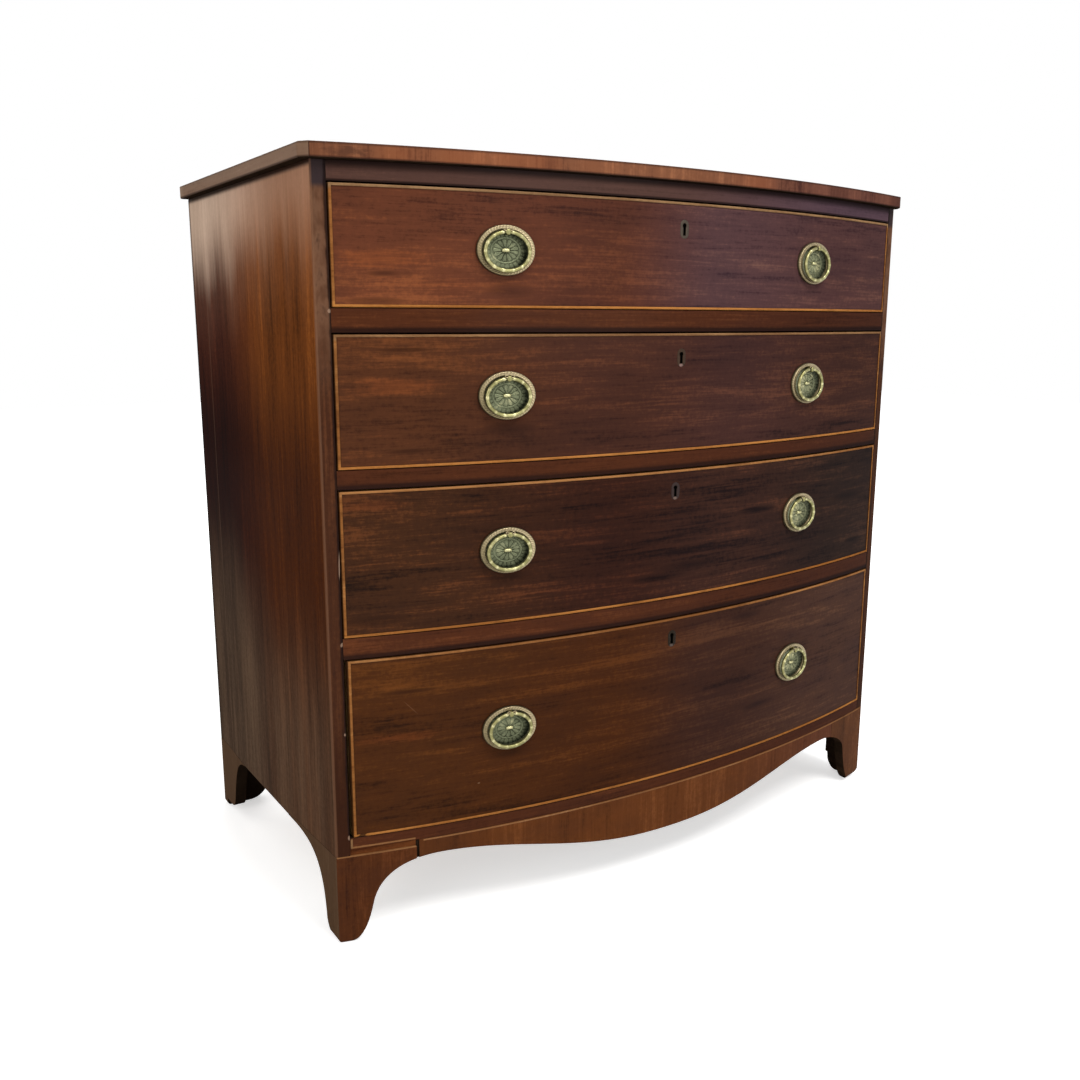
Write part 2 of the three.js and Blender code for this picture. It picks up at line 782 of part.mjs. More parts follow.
// Handles are drawn with the back of the plate at y = 0, facing -Y
function handlePlate() {
  const profile = outline([
    [0, 0],
    [1, 0],
    [1, plateEdgeHeight],
    [rimCrownShare, plateRimHeight],
    [fieldOuterShare, plateFieldHeight],
    [bossShare, plateFieldHeight],
    [bossCrownShare, plateBossHeight],
    [0, plateBossHeight],
  ]);
  const oval = new THREE.LatheGeometry(profile, plateFacets);
  oval.scale(plateHalfWidth, 1, plateHalfHeight).rotateX(Math.PI);
  const post = new THREE.CylinderGeometry(postRadius, postRadius, postLength, postFacets);
  post.translate(0, -postLength / 2, postRise);
  const eye = new THREE.CylinderGeometry(eyeRadius, eyeRadius, 2 * postLength, postFacets);
  eye.rotateZ(Math.PI / 2).translate(0, -ringStandoff, postRise);
  const reach = plateStandoff + frontThickness + nutGap;
  const bolt = new THREE.CylinderGeometry(boltRadius, boltRadius, reach + nutThickness, postFacets);
  bolt.translate(0, (reach + nutThickness) / 2 - plateEdgeHeight / 2, postRise);
  const nut = new THREE.CylinderGeometry(nutRadius, nutRadius, nutThickness, nutSides);
  nut.translate(0, reach + nutThickness / 2, postRise);
  return solid(oval).add(solid(post)).subtract(solid(eye)).add(solid(bolt)).add(solid(nut));
}

// The ring is a torus whose round wire is slid from a circle onto an oval
function handleRing() {
  const ring = new THREE.TorusGeometry(ringHalfWidth, ringWireRadius, ringSides, ringSteps);
  const position = ring.attributes.position;
  for (let i = 0; i < position.count; i++) {
    const angle = Math.atan2(position.getY(i), position.getX(i));
    const out = Math.hypot(position.getX(i), position.getY(i)) - ringHalfWidth;
    const normal = new THREE.Vector2(ringHalfHeight * Math.cos(angle), ringHalfWidth * Math.sin(angle));
    normal.setLength(1);
    const x = ringHalfWidth * Math.cos(angle) + out * normal.x;
    const y = ringHalfHeight * Math.sin(angle) + out * normal.y;
    position.setXY(i, x, y);
  }
  const middle = postRise - ringHalfHeight;
  return solid(ring.rotateX(Math.PI / 2).translate(0, -ringStandoff, middle));
}

function makeCarcase() {
  const group = new THREE.Group();
  const { mahogany, topEdge, darkRail, pine } = finishes;
  const slippedLine = baseHeight - slippedFootDrop;
  const jointLeft = -apronHalfWidth - openApronJoint / 2;
  addPiece(group, "top_board", topBoard(), topEdge);
  addPiece(group, "side_left", sidePanel(slippedLine, leftSideToe), mahogany);
  addPiece(group, "side_right", sidePanel(baseHeight, rightSideToe), mahogany).scale.x = -1;
  addPiece(group, "back_board", backBoard(), pine);
  const bottom = block(
    -halfOpening,
    halfOpening,
    -railBackDepth,
    -backThickness,
    baseHeight,
    bottomRailTop,
  );
  addPiece(group, "bottom_board", bottom, pine);
  const backRail = block(
    -halfOpening,
    halfOpening,
    -backThickness - backRailWidth,
    -backThickness,
    railLows[0],
    carcaseTop,
  );
  addPiece(group, "top_back_rail", backRail, pine);
  addPiece(group, "top_rail", rail(railLows[0], topRailHeight, false), darkRail);
  dividerHeights.forEach((height, i) => {
    addPiece(group, `divider_rail_${i + 1}`, rail(railLows[i + 1], height, true), darkRail);
  });
  addPiece(group, "bottom_rail", rail(baseHeight, bottomRailHeight, true), mahogany);
  const apronPlan = bandPlan(
    -apronHalfWidth + openApronJoint / 2,
    apronHalfWidth - apronJoint / 2,
    0,
    bracketThickness,
  );
  const apronBlank = alongZ(apronPlan, 0, baseHeight);
  const apronShape = alongY(frontBaseElevation(leftToe, rightToe), -frontDepth - overrun, 0);
  addPiece(group, "apron", apronBlank.intersect(apronShape), mahogany);
  const leftFoot = frontFoot(
    slippedLine,
    jointLeft,
    slippedFootDrop,
    leftToe,
    leftSideToe,
    toeRound,
  );
  addPiece(group, "foot_front_left", leftFoot, mahogany);
  const rightInner = -apronHalfWidth - apronJoint / 2;
  const rightFoot = frontFoot(baseHeight, rightInner, 0, rightToe, rightSideToe, rightToeRound);
  addPiece(group, "foot_front_right", rightFoot, mahogany).scale.x = -1;
  addPiece(group, "foot_rear_left", rearFoot(), mahogany);
  addPiece(group, "foot_rear_right", rearFoot(), mahogany).scale.x = -1;
  return group;
}

function makeDrawer(index) {
  const group = new THREE.Group();
  const name = `drawer_${index + 1}`;
  const places = drawerPlaces(index);
  const { left, right, landLeft, landRight } = places;
  const leftInner = left + drawerSideThickness;
  const rightInner = right - drawerSideThickness;
  const { mahogany, boxwood, pine, brass, dullBrass } = finishes;
  addPiece(group, `${name}_front`, drawerFront(index, places), mahogany);
  addPiece(group, `${name}_bead`, bead(places), boxwood);
  addPiece(group, `${name}_side_left`, drawerSide(places, left, leftInner, landLeft), pine);
  addPiece(group, `${name}_side_right`, drawerSide(places, rightInner, right, landRight), pine);
  addPiece(group, `${name}_back`, drawerBack(places), pine);
  addPiece(group, `${name}_bottom`, bottomPanel(places, 0), pine);
  addPiece(group, `${name}_lock`, lock(index), dullBrass);
  handlePlaces(index).forEach((place) => {
    const handle = new THREE.Group();
    const end = place.side < 0 ? "left" : "right";
    addPiece(handle, `${name}_plate_${end}`, handlePlate(), brass);
    addPiece(handle, `${name}_ring_${end}`, handleRing(), brass);
    handle.position.copy(place.position);
    handle.rotation.z = place.angle;
    group.add(handle);
  });
  group.position.z = drawerLows[index];
  return group;
}

const chest = new THREE.Group();
chest.add(makeCarcase());
drawerHeights.forEach((_, index) => chest.add(makeDrawer(index)));
chest.position.y = overallDepth / 2;

const part = new THREE.Group();
part.add(chest);

export default part;
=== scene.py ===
"""A bow front chest of drawers in polished mahogany, with oval brass ring handles.

Metres, +Z up. The bowed front faces -Y and the origin is on the floor, under the middle of the chest.
"""

import math
import random

import bmesh
import bpy
import numpy as np
from mathutils import Matrix, Vector


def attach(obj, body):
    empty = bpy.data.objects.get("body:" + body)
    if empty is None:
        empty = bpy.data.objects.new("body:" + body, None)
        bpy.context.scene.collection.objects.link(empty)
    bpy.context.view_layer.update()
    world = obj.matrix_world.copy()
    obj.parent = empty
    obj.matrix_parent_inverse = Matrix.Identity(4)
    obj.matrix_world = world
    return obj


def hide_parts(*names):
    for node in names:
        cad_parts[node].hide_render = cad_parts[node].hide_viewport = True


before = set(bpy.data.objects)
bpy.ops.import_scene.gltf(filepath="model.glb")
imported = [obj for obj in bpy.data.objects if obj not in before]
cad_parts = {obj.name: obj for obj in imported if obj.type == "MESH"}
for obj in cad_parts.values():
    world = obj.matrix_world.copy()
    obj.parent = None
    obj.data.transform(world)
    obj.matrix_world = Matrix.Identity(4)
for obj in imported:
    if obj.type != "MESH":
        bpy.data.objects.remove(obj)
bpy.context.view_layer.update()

# Sizes of the chest, in metres. The back plane is y = BACK.
BACK = 0.27775
HALF = 0.475
BOARD = 0.017
OPENING = HALF - BOARD
DEPTH = 0.4825
SIDE_FRONT = BACK - DEPTH
RAIL_BACK = BACK - 0.432
BOW_RISE = 0.066
BOW_RADIUS = 1.74228
BOW_CENTRE = 1.47153
BOW_FRONT = BOW_CENTRE - BOW_RADIUS
BASE = 0.125
CARCASE_TOP = 0.938
TOP = 0.955
TOP_OVERHANG = 0.012
TOP_NOSING = 0.007
FRONT_ARCH = 0.1025
SIDE_ARCH = 0.104
SIDE_LOW = SIDE_ARCH + 0.0004
REAR_FOOT_TOP = 0.110
SLIPPED_FOOT_TOP = 0.1165
RAILS = {
    "top_rail": (0.9158, CARCASE_TOP),
    "divider_rail_1": (0.7528, 0.7802),
    "divider_rail_2": (0.5743, 0.5972),
    "divider_rail_3": (0.3698, 0.3962),
    "bottom_rail": (BASE, 0.1402),
}
DRAWER_LOWS = [0.781, 0.598, 0.397, 0.141]
DRAWER_HEIGHTS = [0.133, 0.153, 0.1755, 0.227]
DRAWER_LEFTS = [-0.4564, -0.4564, -0.4564, -0.4534]
DRAWER_RIGHT = 0.4564
DRAWER_FRONT = 0.026
BEAD = 0.0032
BEAD_DEPTH = 0.0067
BEAD_PROUD = 0.0015
HANDLE_XS = {"left": [-0.2563, -0.2555, -0.2554, -0.2543], "right": [0.2529, 0.2509, 0.2470, 0.2461]}
HANDLE_RISES = [-0.0005, 0.0042, 0.0045, 0.0027]
KEYHOLE_XS = [-0.0013, -0.0006, -0.0045, -0.0036]
KEYHOLE_DROPS = [0.0329, 0.0312, 0.0282, 0.0288]


def bow_y(x, inset=0.0):
    """The front's y at x, on a line that lies inset behind its face."""
    return BOW_CENTRE - math.sqrt((BOW_RADIUS - inset) ** 2 - x * x)


def srgb(r, g, b):
    """A colour written 0 to 255 as linear RGBA."""
    shares = [value / 255 for value in (r, g, b)]
    return (*[c / 12.92 if c <= 0.04045 else ((c + 0.055) / 1.055) ** 2.4 for c in shares], 1.0)


# Node trees
class Nodes:
    """A node tree, made one call at a time. A colour of three numbers is sRGB, 0 to 255, and one of four is
    linear."""

    def __init__(self, owner):
        owner.use_nodes = True
        self.tree = owner.node_tree
        self.tree.nodes.clear()

    def node(self, kind, inputs=None, **settings):
        made = self.tree.nodes.new(kind)
        for key, value in settings.items():
            setattr(made, key, value)
        for key, value in (inputs or {}).items():
            self.feed(made.inputs[key], value)
        return made

    def feed(self, socket, value):
        if isinstance(value, bpy.types.NodeSocket):
            self.tree.links.new(value, socket)
        elif socket.type == "RGBA" and len(value) == 3:
            socket.default_value = srgb(*value)
        else:
            socket.default_value = value

    def math(self, operation, a, b=0.0, clamp=False):
        return self.node("ShaderNodeMath", {0: a, 1: b}, operation=operation, use_clamp=clamp).outputs[0]

    def ramp(self, value, low, high, start=0.0, end=1.0):
        """Goes smoothly from start to end as a value goes from low to high."""
        inputs = {"Value": value, "From Min": low, "From Max": high, "To Min": start, "To Max": end}
        return self.node("ShaderNodeMapRange", inputs, interpolation_type="SMOOTHSTEP").outputs["Result"]

    def seen(self):
        """1 for what the camera and reflections see, and 0 for the light that falls on the chest."""
        path = self.node("ShaderNodeLightPath").outputs
        share = path["Is Camera Ray"]
        for ray in ("Is Glossy Ray", "Is Transmission Ray"):
            share = self.math("MAXIMUM", share, path[ray])
        return share


class Shader(Nodes):
    """A material whose pattern is placed by the object's own coordinates."""

    def __init__(self, name):
        self.material = bpy.data.materials.new(name)
        super().__init__(self.material)
        self.bsdf = self.node("ShaderNodeBsdfPrincipled")
        self.node("ShaderNodeOutputMaterial", {"Surface": self.bsdf.outputs["BSDF"]})
        self.place = self.node("ShaderNodeTexCoord").outputs["Object"]
        self.x, self.y, self.z = self.node("ShaderNodeSeparateXYZ", {0: self.place}).outputs

    def set(self, **values):
        for name, value in values.items():
            self.feed(self.bsdf.inputs[name.replace("_", " ")], value)

    def read(self, attribute):
        """A value that the mesh keeps for each point."""
        return self.node("ShaderNodeAttribute", attribute_name=attribute).outputs["Fac"]

    def plus(self, a, b):
        return self.math("ADD", a, b)

    def times(self, a, b):
        return self.math("MULTIPLY", a, b)

    def off(self, a, b):
        """How far a is from b."""
        return self.math("ABSOLUTE", self.math("SUBTRACT", a, b))

    def sway(self, value, noise, amount, clamp=False):
        """A value that noise moves up and down."""
        return self.math("ADD", value, self.times(self.math("SUBTRACT", noise, 0.5), amount), clamp)

    def mix(self, share, a, b, blend="MIX"):
        inputs = {0: share, 6: a, 7: b}
        return self.node("ShaderNodeMix", inputs, data_type="RGBA", blend_type=blend).outputs[2]

    def scaled(self, colour, factors):
        return self.mix(1.0, colour, factors, "MULTIPLY")

    def over(self, colour, paint, value, clear, full, strength=1.0):
        """A colour with paint over it: none where the value is at clear, and up to strength at full."""
        return self.mix(self.ramp(value, clear, full, 0.0, strength), colour, paint)

    def noise(self, scale, shift=(0, 0, 0), detail=2.0, rough=0.5, source=None):
        mapping = {"Vector": source or self.place, "Location": shift, "Scale": scale}
        vector = self.node("ShaderNodeMapping", mapping).outputs["Vector"]
        inputs = {"Vector": vector, "Scale": 1.0, "Detail": detail, "Roughness": rough}
        return self.node("ShaderNodeTexNoise", inputs).outputs["Fac"]

    def spot(self, centre, size, turn=0.0, source=None):
        """1 at the centre of an ellipsoid, falling to 0 at its surface. turn is about Y."""
        turned = {"Location": centre, "Rotation": (0, turn, 0), "Scale": size}
        mapping = {"Vector": source or self.place, **turned}
        vector = self.node("ShaderNodeMapping", mapping, vector_type="TEXTURE").outputs["Vector"]
        ball = self.node("ShaderNodeTexGradient", {"Vector": vector}, gradient_type="SPHERICAL")
        return ball.outputs["Fac"]

    def bump(self, height, distance, strength):
        inputs = {"Strength": strength, "Distance": distance, "Height": height}
        self.set(Normal=self.node("ShaderNodeBump", inputs).outputs["Normal"])


def stretched(along, across, coarse, close, depth=1.0):
    """A scale that draws noise out along one axis and packs it across another."""
    return tuple({along: coarse, across: close}.get(axis, depth) for axis in "xyz")


# Half depth of a spot or mark on the front, which lets it reach through the whole bow
DEEP = 5.0


def wood(
    name, grain, dark, middle, light, seed, fine=1.0, contrast=1.0, wander=0.006, rough=(0.42, 0.56),
    coat=0.05, tint=None, spots=(),
):
    """Polished wood. grain names the axes along and across it, fine packs it closer and coat is the polish.
    tint(shader, colour, tone) may change the colour by place. spots are ragged patches on the front, as
    (x, z, half width, half height, colour, strength)."""
    s = Shader(name)
    along, across = grain
    shift = (seed, seed * 0.7, seed * 1.3)
    lazy = s.noise(stretched(along, across, 3.0, 9.0), shift)
    drift = s.times(s.math("SUBTRACT", lazy, 0.5), wander)
    waves = s.node("ShaderNodeCombineXYZ", {"xyz".index(across): drift}).outputs[0]
    warped = s.node("ShaderNodeVectorMath", {0: s.place, 1: waves}, operation="ADD").outputs[0]

    def figure(coarse, close, detail, roughness):
        scale = stretched(along, across, coarse, close * fine, close * 0.2)
        return s.noise(scale, shift, detail, roughness, warped)

    broad = figure(1.7, 11.0, 2.0, 0.5)
    bands = figure(5.0, 70.0, 4.0, 0.66)
    lines = figure(12.0, 330.0, 3.0, 0.66)
    pores = figure(120.0, 1400.0, 1.0, 0.5)
    mottle_scale = 170.0
    mottle = s.noise((mottle_scale,) * 3, [mottle_scale * part for part in shift], 3.0, 0.7)
    tone = 0.5
    for part, weight in ((broad, 1.0), (bands, 1.25), (lines, 0.75), (mottle, 0.6)):
        tone = s.sway(tone, part, weight * contrast)
    tone = s.math("ADD", tone, 0.0, clamp=True)
    colour = s.mix(s.ramp(tone, 0.05, 0.5), dark, middle)
    colour = s.over(colour, light, tone, 0.5, 0.95)
    colour = s.over(colour, dark, pores, 0.60, 0.80, 0.3)
    for x, z, wide, tall, paint, strength in spots:
        blob = s.spot((x, 0.0, z), (wide, DEEP, tall), source=warped)
        ragged = s.sway(s.sway(s.sway(blob, bands, 2.2), lines, 1.6), mottle, 1.0)
        share = s.times(s.ramp(ragged, 0.05, 0.95, 0.0, strength), s.ramp(blob, 0.0, 0.45))
        colour = s.mix(share, colour, paint)
    if tint:
        colour = tint(s, colour, tone)
    handled = s.noise((9, 9, 9), shift, 3.0, 0.6)
    s.set(
        Base_Color=colour, Roughness=s.ramp(handled, 0.3, 0.7, *rough), Specular_IOR_Level=0.0,
        Coat_Roughness=0.22, Coat_Weight=coat,
    )
    s.bump(s.plus(s.times(lines, 0.6), s.times(pores, -0.5)), 0.0002, 0.3)
    return s.material


def metal(name, low, middle, high, rough, mark=None):
    """Old brass. Each point's relief value says how worn bright or how dark it is, painted shade included.
    mark is a pale place, as (centre, size, colour)."""
    s = Shader(name)
    grains = s.noise((700.0,) * 3, detail=3.0, rough=0.65)
    value = s.sway(s.read("relief"), grains, 0.55, clamp=True)
    colour = s.mix(s.ramp(value, 0.0, 0.5), low, middle)
    colour = s.over(colour, high, value, 0.45, 1.0)
    if mark:
        centre, size, paint = mark
        colour = s.over(colour, paint, s.spot(centre, size), 0.1, 0.5)
    s.set(Base_Color=colour, Roughness=s.ramp(value, 0.1, 0.9, rough[1], rough[0]), Metallic=1.0)
    s.bump(grains, 0.0003, 0.5)
    return s.material


# Tints, which change a wood's colour by place: real marks, and painted shade, shadow, highlight and
# reflection
ORANGE = (132, 67, 38)
BLACK = (24, 14, 12)
PLAIN = (1, 1, 1, 1)


def painted_shade_and_reflection(*steps):
    """A tint of painted shade and painted bluish reflection that follows x: steps are (x, factors), and the
    factors multiply the wood's own colour.
    """

    def tint(s, colour, tone):
        shade = steps[0][1]
        for (x0, _), (x1, after) in zip(steps, steps[1:]):
            shade = s.mix(s.ramp(s.x, x0, x1), shade, after)
        cloud = s.noise((5.0, 1.0, 12.0), detail=4.0, rough=0.65)
        return s.scaled(s.over(colour, (0.022, 0.010, 0.008, 1.0), cloud, 0.40, 0.75, 0.30), shade)

    return tint


def marks(s, colour, places, paint, strength):
    """Small worn places on the front, as (x, z, half width, half height, turn about Y)."""
    for x, z, wide, tall, turn in places:
        blob = s.spot((x, 0.0, z), (wide, DEEP, tall), turn)
        colour = s.over(colour, paint, blob, 0.15, 0.55, strength)
    return colour


def drawer_4_tint(s, colour, tone):
    """Painted shade and reflection across the lowest drawer, and a scratch and a pale chip on it."""
    shade = painted_shade_and_reflection(
        (-0.38, (0.88, 0.90, 0.70, 1)), (-0.10, (0.72, 0.70, 0.60, 1)), (0.08, (0.54, 0.68, 1.18, 1)),
        (0.35, (0.82, 1.20, 2.15, 1)),
    )
    colour = marks(s, shade(s, colour, tone), [(-0.3805, 0.301, 0.0175, 0.0007, 0.83)], (120, 84, 60), 0.32)
    return marks(s, colour, [(-0.2956, 0.1878, 0.0024, 0.0012, 0.0)], (140, 108, 82), 0.5)


def rail_tint(s, colour, tone):
    """Painted shadow and soiling along the lower edge of each divider rail, and painted shade towards the
    right.
    """
    for name, (low, _) in RAILS.items():
        if name.startswith("divider"):
            # A painted shadow line, with soiling, along the rail's lower edge
            dirt_and_shadow = s.ramp(s.z, low + 0.0085, low + 0.0035, 0.0, 0.8)
            colour = s.mix(s.times(dirt_and_shadow, s.ramp(s.z, low - 0.002, low - 0.001)), colour, BLACK)
    return painted_shade_and_reflection((-0.2, PLAIN), (0.36, (0.72, 0.74, 0.9, 1)))(s, colour, tone)


def top_rail_tint(s, colour, tone):
    """Painted shadow under the top and above the first drawer, and a painted bluish reflection towards the
    right.
    """
    colour = painted_shade_and_reflection((-0.1, PLAIN), (0.36, (1.05, 1.22, 2.05, 1)))(s, colour, tone)
    # Painted shadow under the top's overhang, along the top of the rail
    colour = s.over(colour, BLACK, s.z, 0.927, 0.936, 0.85)
    # Painted shadow in the gap above the first drawer
    return s.over(colour, BLACK, s.z, 0.9192, 0.9172, 0.85)


def side_tint(s, colour, tone):
    """A side is painted lit above and in shade below, with a pale painted reflection under the top and a
    painted sheen low down, and is dark at the middle of its back.
    """
    back = s.ramp(s.y, -0.05, 0.17)
    colour = s.scaled(colour, s.mix(back, (0.96, 0.86, 0.62, 1), (0.34, 0.32, 0.52, 1)))
    # Painted light: the upper side is painted lit, and the lower side in shade
    shade_below = s.mix(back, (0.72, 0.68, 0.34, 1), (0.66, 0.44, 0.30, 1))
    lit = s.mix(back, (1.90, 2.20, 1.60, 1), (2.60, 2.80, 2.50, 1))
    risen = s.ramp(s.plus(s.z, s.times(back, -0.04)), 0.56, 0.75)
    colour = s.scaled(colour, s.mix(risen, shade_below, lit))
    # The side is joined from two boards, and the rear one is a little darker
    colour = s.scaled(colour, s.mix(s.ramp(s.y, 0.030, 0.037), PLAIN, (0.86, 0.84, 0.88, 1)))
    # Vertical streaks let the painted reflection and sheen fade unevenly
    streaks = s.noise((1.0, 34.0, 1.1), (2.0, 0.3, 0.0), 4.0, 0.6)
    cloud = s.noise((1.0, 7.0, 6.0), (5.0, 0.0, 0.0))
    height = s.sway(s.sway(s.z, streaks, 0.11), cloud, 0.06)
    # A painted reflection makes the side pale under the top, with a warmer rim, reaching further down at the
    # back
    fall = s.plus(height, s.ramp(s.y, -0.12, 0.22, 0.0, 0.022))
    warm_reflection = s.times(s.ramp(fall, 0.74, 0.935, 0.0, 0.68), s.ramp(s.y, 0.02, 0.20, 1.0, 0.4))
    colour = s.mix(warm_reflection, colour, s.mix(s.ramp(s.y, -0.10, 0.20), (142, 92, 62), (138, 106, 88)))
    pale_reflection = s.mix(s.ramp(s.y, -0.14, 0.22), (150, 109, 84), (194, 168, 148))
    colour = s.over(colour, pale_reflection, fall, 0.82, 0.93, 0.88)
    # A painted sheen low down on the side, stronger towards the back
    low = s.plus(height, s.times(back, -0.06))
    painted_sheen = s.times(s.ramp(low, 0.46, 0.22, 0.0, 0.58), s.ramp(streaks, 0.3, 0.7, 0.75, 1.1))
    painted_sheen = s.times(painted_sheen, s.ramp(s.y, 0.02, 0.16, 1.0, 1.35))
    colour = s.mix(painted_sheen, colour, s.mix(s.ramp(tone, 0.1, 0.9), (69, 54, 42), (99, 78, 60)))
    grained = s.mix(s.ramp(tone, 0.15, 0.85), (0.87, 0.86, 0.84, 1), (1.11, 1.11, 1.11, 1))
    colour = s.scaled(colour, grained)
    colour = s.over(colour, (128, 100, 78), s.off(s.y, BACK - 0.066), 0.003, 0.0004, 0.14)
    colour = s.over(colour, (24, 16, 12), s.y, BACK - 0.012, BACK - 0.001, 0.75)
    # A pale painted highlight along the side's front arris
    colour = s.over(colour, (120, 84, 62), s.y, SIDE_FRONT + 0.004, SIDE_FRONT + 0.0015, 0.4)
    # Painted shadow under the top's overhang
    return s.over(colour, BLACK, s.z, 0.929, 0.9355, 0.92)


def stile_tint(s, colour, tone):
    """The stiles are worn towards the top, grimy and painted in shadow beside the drawers, pale with a
    painted highlight along the outer arris, and chipped on the left.
    """
    out = s.math("ABSOLUTE", s.x)
    patches = s.noise((60.0, 1.0, 28.0), detail=3.0, rough=0.65)
    worn = s.times(s.ramp(s.z, 0.66, 0.80, 0.0, 0.75), s.ramp(patches, 0.35, 0.6, 0.45, 1.0))
    colour = s.mix(worn, colour, (112, 80, 60))
    colour = s.over(colour, (34, 24, 22), patches, 0.56, 0.72, 0.6)
    colour = s.over(colour, (44, 37, 40), s.z, 0.906, 0.914, 0.92)
    colour = s.over(colour, (44, 22, 12), s.z, 0.42, 0.20, 0.6)
    # Soiling and painted shadow in the gap beside the drawers
    grime_and_shadow = s.ramp(s.sway(out, patches, 0.006), 0.4618, 0.4592, 0.0, 0.85)
    colour = s.mix(s.times(grime_and_shadow, s.ramp(s.z, 0.135, 0.142)), colour, BLACK)
    # A pale painted highlight along the outer arris
    colour = s.over(colour, (118, 84, 62), out, HALF - 0.0030, HALF - 0.0012, 0.45)
    chips = [
        (-0.4596, 0.7768, 0.0026, 0.0034, 0.0), (-0.4592, 0.3891, 0.0022, 0.0040, 0.3),
        (-0.4590, 0.1410, 0.0022, 0.0045, 0.0), (-0.4594, 0.2760, 0.0016, 0.0028, 0.0),
        (-0.4588, 0.4858, 0.0012, 0.0230, 0.03),
    ]
    return marks(s, colour, chips, (150, 122, 102), 0.7)


def edge_tint(s, colour, tone):
    """The top's front edge is patchy, painted darker and bluish towards the right, stained at its left end,
    and dark along its arrises.
    """
    colour = s.over(colour, (140, 80, 48), s.noise((7.0, 1.0, 1.0)), 0.5, 0.62, 0.4)
    colour = s.over(colour, (64, 36, 26), s.noise((11.0, 1.0, 1.0), (3.1, 0, 0)), 0.56, 0.68, 0.45)
    # Painted shade and bluish reflection towards the right
    colour = s.scaled(colour, s.mix(s.ramp(s.x, -0.05, 0.30), PLAIN, (0.74, 0.74, 1.0, 1)))
    stain = s.spot((-0.437, 0.0, 0.9455), (0.036, DEEP, 0.0075))
    stain = s.sway(stain, s.noise((70.0, 1.0, 190.0), detail=3.0, rough=0.6), 1.6)
    colour = s.over(colour, (62, 40, 32), stain, 0.25, 0.75, 0.5)
    corner = s.off(s.math("ABSOLUTE", s.x), 0.4785)
    colour = s.over(colour, (38, 25, 21), corner, 0.0022, 0.0004, 0.75)
    colour = s.over(colour, (50, 32, 27), s.z, TOP - 0.0036, TOP - 0.0014, 0.65)
    return s.over(colour, (36, 22, 19), s.z, CARCASE_TOP + 0.0034, CARCASE_TOP + 0.001, 0.75)


def end_tint(s, colour, tone):
    """The top's ends are paler towards the back."""
    colour = s.over(colour, (68, 52, 43), s.z, TOP - 0.0034, TOP - 0.0012, 0.6)
    colour = s.over(colour, (150, 128, 108), s.y, BACK - 0.030, BACK - 0.004, 0.45)
    return s.over(colour, BLACK, s.z, CARCASE_TOP + 0.0034, CARCASE_TOP + 0.001, 0.7)


def foot_tint(s, colour, tone):
    """Painted bluish reflection towards the right, and cracks in the left foot's veneer."""
    colour = painted_shade_and_reflection((-0.3, PLAIN), (0.3, (1.22, 1.50, 1.90, 1)))(s, colour, tone)
    cracks = [(-0.436, 0.058, 0.016, 0.0004, 0.04), (-0.452, 0.072, 0.0003, 0.03, 0.0)]
    return marks(s, colour, cracks, BLACK, 0.5)


def bead_tint(s, colour, tone):
    """The upper beads are painted pinkish and pale, as lit from above, and the lower ones a golden orange,
    with soiling and painted shade beside them.
    """
    shine = s.ramp(tone, 0.2, 0.8)
    pinkish = s.mix(shine, (114, 84, 57), (146, 113, 79))
    tan = s.mix(shine, (120, 76, 40), (156, 108, 64))
    golden = s.mix(shine, (138, 86, 40), (170, 113, 58))
    level = s.read("level")
    # The upper beads are painted pale, as lit from above
    colour = s.over(colour, s.mix(s.ramp(s.z, 0.60, 0.82), tan, pinkish), level, 0.94, 0.975)
    colour = s.over(colour, golden, level, 0.06, 0.03)
    patches = s.noise((16.0, 16.0, 16.0), detail=4.0, rough=0.65)
    colour = s.over(colour, (84, 52, 30), patches, 0.50, 0.72, 0.45)
    # Soiling and painted shade darken the bead's flanks beside the gaps
    return s.over(colour, (46, 26, 16), s.read("nose"), 0.12, 0.0, 0.8)


